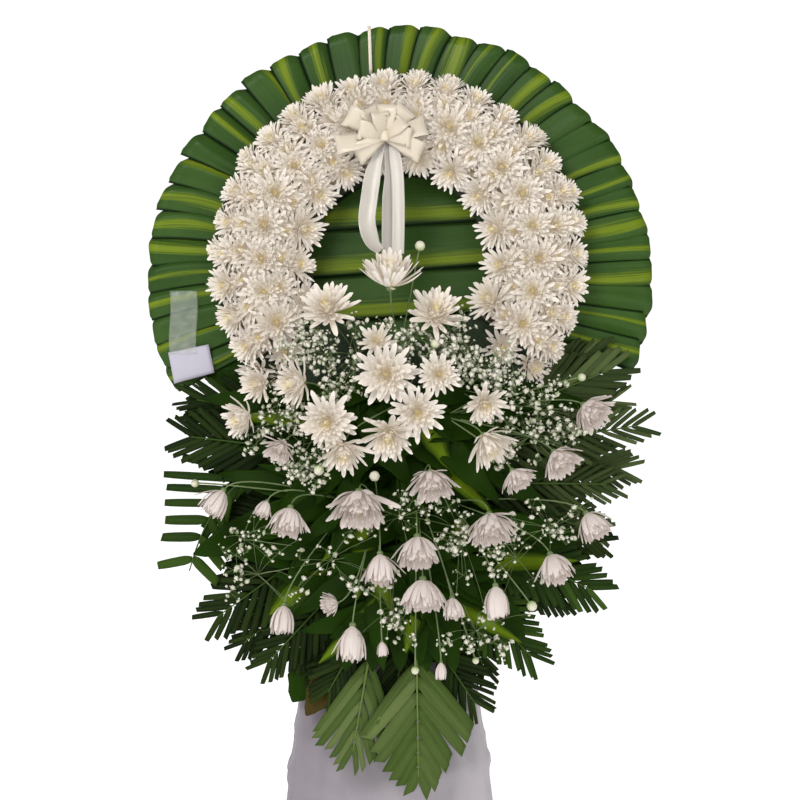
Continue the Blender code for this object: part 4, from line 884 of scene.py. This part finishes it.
def add_frond(piece, seed, ends, layer, longest, angle, pairs, close, kind=0, via=None, square=False):
    """A trimmed palm frond: a rib and folded leaflets cut off square. A rib that bends towards via has
    more even leaflets."""
    draw = random.Random(seed)
    root, tip = Vector(ends[:2]) / 1000, Vector(ends[2:]) / 1000
    knee = Vector(via) / 1000 if via else (root + tip) / 2
    length = (knee - root).length + (tip - knee).length
    longest, trim = longest / 1000, 1.0 if via else 0.84

    def spot(a):
        return (1 - a) ** 2 * root + 2 * a * (1 - a) * knee + a * a * tip

    def place(flat, off, rise):
        flat = off_foam(flat, root)
        sag = min(0.006 * (off / 0.07) ** 2, 0.006)
        return at(flat.x, flat.y, layer / 1000 + lift(flat.x, flat.y) - sag + rise)

    rib = [place(spot(trim * i / 24), 0.0, 0.0006) for i in range(25)]
    piece.tube(rib, [0.0020 * (1.2 - 0.8 * i / 24) for i in range(25)], 6, kind, (0.5, 0.5, 1.0, 0.6))
    first = 0.10
    pitch = (1 - first) / pairs
    for i in range(pairs):
        a = (first + i * pitch) * trim
        spread = 1.12 - 0.55 * (a / trim) ** 2
        if via:
            size = longest * (0.42 + 1.72 * (1 - max(a, 0.46)) ** 2)
            spread = min(1.0, max(0.45, 0.56 + 1.6 * (a - 0.5)))
        elif square:
            size = longest * (0.20 + 0.84 * (1 - a / trim)) * min(1.0, 0.85 + 1.2 * a)
        else:
            size = longest * (0.46 + 0.58 * (1 - (a / trim) ** 2)) * min(1.0, 0.75 + 1.2 * a)
        along = ((knee - root) * (1 - a) + (tip - knee) * a).normalized()
        across = Vector((-along.y, along.x))
        for side in (1, -1):
            slant = radians(angle * spread + draw.uniform(-3, 3))
            reach = along * cos(slant) + across * side * sin(slant)
            limit = size * draw.uniform(0.93, 1.04)
            start = spot(a + draw.uniform(-0.05, 0.05) * pitch)
            if start.x + reach.x * limit < -SIDE_TRIM:
                limit = (-SIDE_TRIM - start.x) / reach.x
            if limit < 0.004:
                continue
            middle = start + along * pitch * trim * length * 0.45
            width = pitch * trim * length * max(sin(slant), 0.85 * sin(radians(angle)))
            width *= close * draw.uniform(0.93, 1.07)
            normal = Vector((-reach.y, reach.x)) * side
            cut = -0.35 * width / tan(slant) if square else draw.uniform(-0.4, 0.4) * width
            chance = draw.uniform(0, 1)

            def leaflet(t, u):
                s = 2 * u - 1
                half = width * LEAFLET_WIDTHS[round(8 * t)] * s
                flat = middle + reach * (limit * t + cut * s * t) + normal * half * side
                fold = 0.0007 * (1 - abs(s)) * min(1.0, 3 * t) * (1 - 0.4 * t)
                return place(flat, abs((flat - start).dot(across)), fold), (u, t, 0.3, chance)

            piece.surface(8, 4, leaflet, kind)


def build_palms():
    """Trimmed fronds with a few behind them, most of these in darker leaflets as painted shade."""
    for name, (*ends, layer, longest, angle, pairs, close, colour) in FRONDS.items():
        node = "palm_" + name
        piece = Piece()
        add_frond(piece, node, ends, layer, longest, angle, pairs, close,
                  via=BOWED_VIA if name == BOWED else None, square=colour == "light")
        for number, (*ends, layer, longest, angle, pairs) in enumerate(BEHIND.get(name, ())):
            # Painted shade: the fronds behind take the dark leaflets, except behind the olive fronds.
            add_frond(piece, node + str(number), ends, layer, longest, angle, pairs, BEHIND_CLOSENESS,
                      0 if colour == "olive" else 1)
        piece.make(node + "_fine", [colour, "dark"], node, PALM_THICK)


def add_broad(piece, spine, normal, half_width, stripe, chance, cup=0.16, ripple=0.0):
    """A broad pointed leaf along a path; normal is the direction its face looks."""
    last = len(spine) - 1

    def leaf(t, u):
        i, s = round(t * last), 2 * u - 1
        ahead = heading(spine, i)
        side = ahead.cross(normal).normalized()
        width = half_width * between(t, BROAD_WIDTHS)
        raised = cup * width * abs(s) ** 1.3 + ripple * sin(14 * t + 2 * s) * abs(s)
        return (spine[i] + side * width * s + side.cross(ahead) * raised,
                (u * 2.5, t, max(0.0, stripe - abs(s - 0.1) * 0.55), chance))

    piece.surface(last, 8, leaf)


def leaf_spine(start, end, depth, steps=12, bent=1.0):
    """A leaf's middle line between two places on the board, bent forward past the foam's edges."""
    spine = []
    for i in range(steps + 1):
        flat = start.lerp(end, i / steps)
        spine.append(at(flat.x, flat.y, depth + bent * lift(flat.x, flat.y)))
    return spine


def build_broad_leaves():
    for number, (name, (x0, z0, x1, z1, half_width, layer, stripe, kind)) in enumerate(BROAD_LEAVES.items()):
        spine = leaf_spine(Vector((x0, z0)) / 1000, Vector((x1, z1)) / 1000, (layer + 2) / 1000, 16)
        piece = Piece()
        add_broad(piece, spine, FRONT, half_width / 1000, stripe, 0.3 + 0.1 * number, ripple=0.0015)
        piece.make(f"broad_leaf_{name}_fine", [kind], f"broad_leaf_{name}", LEAF_THICK)


def build_cover_leaves():
    """Short leaves over the foam's lower front, flat ones behind it and many tucked between the stems."""
    draw = random.Random(41)
    piece = Piece()
    for lobe in range(COVER_LOBES):
        x = -0.099 + 0.198 * (lobe + 0.5) / COVER_LOBES
        spine = [at(x + 0.01 * (lobe - COVER_LOBES // 2) * (i / 12) ** 2, -0.512 - 0.200 * i / 12,
                    FOAM_FRONT + 0.004 + 0.004 * sin(3 * i / 12)) for i in range(13)]
        add_broad(piece, spine, FRONT, 0.026, 0.3, draw.uniform(0, 1))
    for x0, z0, x1, z1, stripe in BACKING_LEAVES:
        start, end = Vector((x0, z0)) / 1000, Vector((x1, z1)) / 1000
        spine = leaf_spine(start, end, 0.013 + 0.004 * stripe, bent=0.0)
        add_broad(piece, spine, FRONT, 0.040, stripe, draw.uniform(0, 1), cup=0.04)
    middle = Vector((0, -0.43))
    for index in range(FLAT_LEAVES):
        turn = radians(130 + 280 * (index + draw.uniform(-0.3, 0.3)) / (FLAT_LEAVES - 1))
        reach = Vector((0.362 * cos(turn), 0.305 * sin(turn)))
        first = min(0.104 / max(abs(reach.x), 0.001), 0.236 / max(-reach.y, 0.001), 0.8)
        spine = leaf_spine(middle + reach * first, middle + reach * 0.92, draw.uniform(0.008, 0.020))
        add_broad(piece, spine, FRONT, draw.uniform(0.028, 0.036), 0.25, draw.uniform(0, 1), cup=0.05)
    for _ in range(TUCKED_LEAVES):
        turn = radians(draw.uniform(160, 380))
        reach = draw.uniform(0.12, 0.25)
        cx, cz = draw.uniform(-0.10, 0.10), draw.uniform(-0.60, -0.17)
        far = Vector((cx + reach * cos(turn) * 1.15, cz + reach * sin(turn)))
        inside = (far.x / 0.40) ** 2 + ((far.y + 0.36) / 0.36) ** 2
        if inside > 1.0 or (far.y > -0.20 and abs(far.x) > 0.13):
            continue
        front = FOAM_FRONT if cz < FOAM_STEP else FOAM_UPPER_FRONT
        deep = draw.uniform(0.012, 0.055)
        top = dome(far.x, far.y) * draw.uniform(0.45, 0.78)
        start = at(cx, cz, front + 0.001)
        bulge = at((cx + far.x) / 2, (cz + far.y) / 2, front + deep)
        spine = bezier(start, start.lerp(bulge, 0.7), bulge, at(far.x, far.y, max(top, 0.062)), 12)
        twist = Vector((draw.uniform(-0.35, 0.35), -1, draw.uniform(-0.1, 0.45))).normalized()
        stripe = 0.85 if draw.random() < 0.16 else 0.30
        add_broad(piece, spine, twist, draw.uniform(0.017, 0.032), stripe, draw.uniform(0, 1), ripple=0.0012)
    piece.make("cover_leaves_fine", ["broad"], "foam_cover_leaves", 0.0008)


# Ribbon, card, cloth

# Loops of the bow: angle, reach, how far forward its end lies, fullness, twist
BOW_LOOPS = ((190, 0.086, 0.006, 1.0, 28), (150, 0.076, 0.006, 1.0, -30), (122, 0.058, 0.008, 0.9, 24),
             (86, 0.056, 0.010, 0.9, -22), (50, 0.062, 0.008, 0.9, 26), (16, 0.074, 0.004, 1.0, -24),
             (-24, 0.070, 0.002, 0.9, 28), (214, 0.060, 0.002, 0.9, -26), (168, 0.046, 0.022, 0.8, -34),
             (104, 0.040, 0.024, 0.8, 38), (38, 0.042, 0.022, 0.8, -36), (-6, 0.046, 0.020, 0.8, 30))
# A loop's side view, as share of its reach and height
LOOP_PROFILE = ((0.0, 0.004), (0.45, 0.003), (0.88, 0.004), (1.0, 0.013), (0.86, 0.024), (0.40, 0.024),
                (0.0, 0.010))
# Hanging tails: start from the knot, seen points, direction across, gain in width, material (both satins of
# the tails are darkened with painted shade)
TAILS = (((0.004, 0.001), ((-17, 208, 117), (-22, 150, 120), (-23, 100, 124), (-23, 48, 128)),
          (0.95, 0.3, 0), 0.010, 1),
         ((0.012, 0.005), ((-6, 208, 121), (-3, 150, 126), (-3, 100, 129), (-4, 48, 132)),
          (0.97, -0.24, 0), 0.011, 0))
TURNED_TAIL = ((-48, 205, 120), (-57, 150, 126), (-61, 108, 130), (-52, 70, 133), (-36, 54, 136))


def strip(piece, path, across, widths, kind=0, cup=0.0, columns=7):
    """A ribbon along a path, with its direction across and its width at each point. Returns its length."""
    last = len(path) - 1
    travelled = [0.0]
    for a, b in zip(path, path[1:]):
        travelled.append(travelled[-1] + (b - a).length)

    def ribbon(t, u):
        i, s = round(t * last), 2 * u - 1
        ahead = heading(path, i)
        side = (across[i] - across[i].dot(ahead) * ahead).normalized()
        rise = cup * widths[i] * (s * s - 0.4)
        return (path[i] + side * widths[i] * 0.5 * s + ahead.cross(side) * rise, (u, travelled[i], 0.5, 0.5))

    piece.surface(last, columns - 1, ribbon, kind)
    return travelled[-1]


def build_ribbon():
    knot = seen(-28, 262, 112)
    x, z, d = knot.x, knot.z, -knot.y
    bow = Piece()
    used = 0.0
    for degrees, reach, forward, full, twist in BOW_LOOPS:
        out, side = polar(1.0, degrees, 0.0), tilted(degrees + 90, 90 - twist)
        path = through([knot + out * reach * r + FRONT * (h + forward * r) for r, h in LOOP_PROFILE], 5)
        widths = [0.014 + 0.026 * full * smooth(min(i, 30 - i) / 9) for i in range(len(path))]
        used += strip(bow, path, [side] * len(path), widths, 0, 0.05)
    for turn in range(2):
        ring = [knot + Vector((0.009 * cos(a), -0.014 + 0.012 * sin(a), 0.003 * turn))
                for a in (2 * pi * k / 16 for k in range(17))]
        used += strip(bow, ring, [UP] * len(ring), [0.016] * len(ring), 0, -0.10)
    bow.tube([at(x, z, BOW_FOOT), knot], 0.0012, 6, 1)
    made = bow.make("ribbon_bow_fine", ["satin", "stem"], "ribbon_bow", SATIN_THICK)

    top = z - 0.003 - SEAT
    tails = Piece()
    used = 0.0
    for (aside, forward), points, across, gain, kind in TAILS:
        path = through([at(x + aside, top, d + forward)] + [seen(*p) for p in points], 8)
        widths = [0.012 + gain * smooth(i / 7) for i in range(len(path))]
        used += strip(tails, path, [Vector(across)] * len(path), widths, kind, 0.08)
    path = through([at(x - 0.004, top, d + 0.004)] + [seen(*p) for p in TURNED_TAIL], 8)
    ends = len(path) - 1
    flat, turned = Vector((1, 0, 0)), Vector((0.25, 0.55, 0.8))
    sides = [flat.lerp(turned, smooth((i / ends - 0.55) * 2.2)) for i in range(len(path))]
    widths = [0.014 + 0.016 * smooth(i / 12) - 0.010 * smooth((i / ends - 0.7) * 3)
              for i in range(len(path))]
    used += strip(tails, path, sides, widths, 0, 0.14, 9)
    # Both satins of the tails are darkened copies: painted shade.
    made = tails.make("ribbon_tails_fine", ["satin_tail_painted_shade", "satin_painted_shade"], "ribbon_tails",
                      SATIN_THICK)

    thin = Piece()
    low, high = at(-0.0535, 0.376, RUFF_RIM_HIGH), at(-0.0565, 0.463, RUFF_RIM_HIGH)
    used = strip(thin, [low.lerp(high, i / 8) for i in range(9)], [flat] * 9, [0.006] * 9, 0, 0.05, 5)
    made = thin.make("top_strip_fine", ["satin"], "top_strip", SATIN_THICK)


def build_card():
    """The blank card on the leaves' rim and the crumpled tape over its top."""
    depth = RUFF_RIM_HIGH - 0.0002
    corners = [Vector(c) / 1000 for c in ((-425, -135), (-351, -120), (-340, -172), (-414, -192))]

    def card(v, u):
        flat = corners[0].lerp(corners[1], u).lerp(corners[3].lerp(corners[2], u), v)
        return at(flat.x, flat.y, depth + 0.0012 * sin(pi * u) * v), (u, v, 0.5, 0.5)

    piece = Piece()
    piece.surface(8, 10, card)
    piece.make("note_card_fine", ["card"], "note_card", 0.0004)
    draw = random.Random(51)

    def tape(t, u):
        crumple = 0.0009 * sin(37 * t + 5 * u) * sin(19 * t - 9 * u) + draw.uniform(0, 0.0003)
        x = -0.422 + 0.050 * u + 0.0015 * sin(6 * t)
        return at(x, -0.022 - 0.116 * t, depth + 0.0016 + crumple), (u, t, 0.5, 0.5)

    piece = Piece()
    piece.surface(30, 10, tape)
    piece.make("clear_tape_fine", ["tape"], "clear_tape", 0.0002)


def leg_plane(height, behind):
    return (BOARD_THICKNESS + behind) / cos(LEAN) + (height - HEAD_HEIGHT) * tan(LEAN)


def cloth_ring(height, fold, drop):
    """One turn of the cloth round the legs, its folds standing outwards."""
    half = CLOTH_FOOT_HALF_WIDTH - LEG_SLOPE * height - CLOTH_THICKNESS
    front = leg_plane(height, SEAT) - 2 * SEAT
    slope = (REAR_FOOT_Y + LEG_SIDE - leg_plane(BLOCK_BOTTOM, 0) - BLOCK_DEPTH) / BLOCK_BOTTOM
    rear = REAR_FOOT_Y + LEG_SIDE + CLOTH_GAP - slope * height
    beside = front + LEG_SIDE + CLOTH_GAP
    corners = [(-half, front), (half, front), (half, beside), (CLOTH_REAR_HALF_WIDTH, rear),
               (-CLOTH_REAR_HALF_WIDTH, rear), (-half, beside)]
    steps = (54, 6, 40, 10, 40, 6)
    ring = []
    for side, count in enumerate(steps):
        (x0, y0), (x1, y1) = corners[side], corners[(side + 1) % 6]
        out = Vector((y1 - y0, x0 - x1)).normalized()
        for k in range(count):
            t = k / count
            phase = len(ring) / sum(steps) * 2 * pi
            wave = 0.5 + 0.28 * sin(11 * phase + 1.5 * sin(3 * phase) + 0.9 * drop)
            wave += 0.16 * sin(27 * phase + 2.2 * drop) + 0.06 * sin(49 * phase)
            swag = 0.0075 * exp(-((drop - 0.40 - 0.05 * sin(2 * phase)) / 0.030) ** 2)
            swag += 0.0035 * exp(-((drop - 0.22 - 0.06 * sin(3 * phase + 1)) / 0.022) ** 2)
            push = 0.0030 + (fold * max(0.0, wave) + swag) * min(1.0, 0.25 + 4 * t, 0.25 + 4 * (1 - t))
            ring.append(Vector((ROOT.x + STAND_X + x0 + t * (x1 - x0) + out.x * push,
                                ROOT.y + y0 + t * (y1 - y0) + out.y * push, height)))
    return ring


def build_cloth():
    levels = 44
    rows, values = [], []
    for i in range(levels + 1):
        t = i / levels
        height = CLOTH_HEM + t * (CLOTH_TOP - CLOTH_HEM)
        rows.append(cloth_ring(height, 0.0115 * (1 - t) ** 0.6 + 0.0035, 1 - t))
        count = len(rows[0])
        values.append([(k / count, t, 0.5, 0.5) for k in range(count)])
    piece = Piece()
    piece.grid(rows, values, 0, wrap=True)
    made = piece.make("stand_cloth_fine", ["cloth"], "stand_cloth", 0.0012, on_head=False)


def dress_nodes():
    """Materials of the solids that stay as they are."""
    # The board and foam take their near-black colours, which are painted shade for the gaps.
    kept = {"wood": ("cross_rail", "front_leg_left", "front_leg_right", "head_block", "rear_leg"),
            "board": ("backing_board",), "foam": ("wreath_ring", "spray_foam_lower", "spray_foam_upper")}
    for kind, names in kept.items():
        for name in names:
            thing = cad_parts[name]
            thing.data.materials.clear()
            thing.data.materials.append(MATERIALS[kind])


def build_stage():
    """A wide white floor."""
    mesh = bpy.data.meshes.new("studio_floor")
    radius, corners = 24, 48
    ring = [(radius * cos(a), radius * sin(a), -0.0004)
            for a in (2 * pi * k / corners for k in range(corners))]
    mesh.from_pydata(ring, [], [tuple(range(corners))])
    look = Look("studio_floor", (0.92, 0.92, 0.92), 0.9, Emission_Strength=0.62, Emission_Color=(1, 1, 1, 1))
    mesh.materials.append(look.material)
    made = add_object("studio_floor", mesh)


def area_light(name, place, aim, size, power):
    data = bpy.data.lights.new(name, "AREA")
    data.shape = "DISK"
    data.size = size
    data.energy = power
    made = add_object(name, data)
    made.location = place
    made.rotation_euler = (Vector(aim) - Vector(place)).to_track_quat("-Z", "Y").to_euler()


def build_light_and_camera():
    """A world that is dimmer overhead, two soft lights and a camera square to the leaning board."""
    scene = bpy.context.scene
    scene.view_settings.view_transform = "Standard"
    world = bpy.data.worlds.new("studio")
    world.use_nodes = True
    tree = world.node_tree
    split = tree.nodes.new("ShaderNodeSeparateXYZ")
    tree.links.new(tree.nodes.new("ShaderNodeTexCoord").outputs["Generated"], split.inputs[0])
    sky = tree.nodes.new("ShaderNodeMapRange")
    for place, value in ((1, 0.22), (2, 0.62), (3, 1.05), (4, 0.34)):
        sky.inputs[place].default_value = value
    tree.links.new(split.outputs[2], sky.inputs[0])
    tree.links.new(sky.outputs[0], tree.nodes["Background"].inputs[1])
    tree.nodes["Background"].inputs[0].default_value = (1.0, 1.0, 1.0, 1.0)
    scene.world = world
    area_light("key", (-1.3, -2.6, 3.0), (0.0, 0.0, 1.1), 1.4, 66)
    area_light("fill", (1.8, -2.8, 1.7), (0.0, 0.0, 1.0), 2.2, 20)
    data = bpy.data.cameras.new("camera")
    data.sensor_width = 36.0
    data.lens = data.sensor_width * SIGHT_DISTANCE / SIGHT_WIDTH
    camera = add_object("camera", data)
    camera.location = HEAD @ Vector((0.0, -SIGHT_DISTANCE, SIGHT_Z))
    ahead = HEAD.to_3x3() @ Vector((0, 1, 0))
    camera.rotation_euler = ahead.to_track_quat("-Z", "Y").to_euler()
    scene.camera = camera


build_light_and_camera()
build_wreath()
build_breath(build_spray())
build_ruff()
build_centre_leaves()
build_palms()
build_broad_leaves()
build_cover_leaves()
build_ribbon()
build_card()
build_cloth()
dress_nodes()
build_stage()
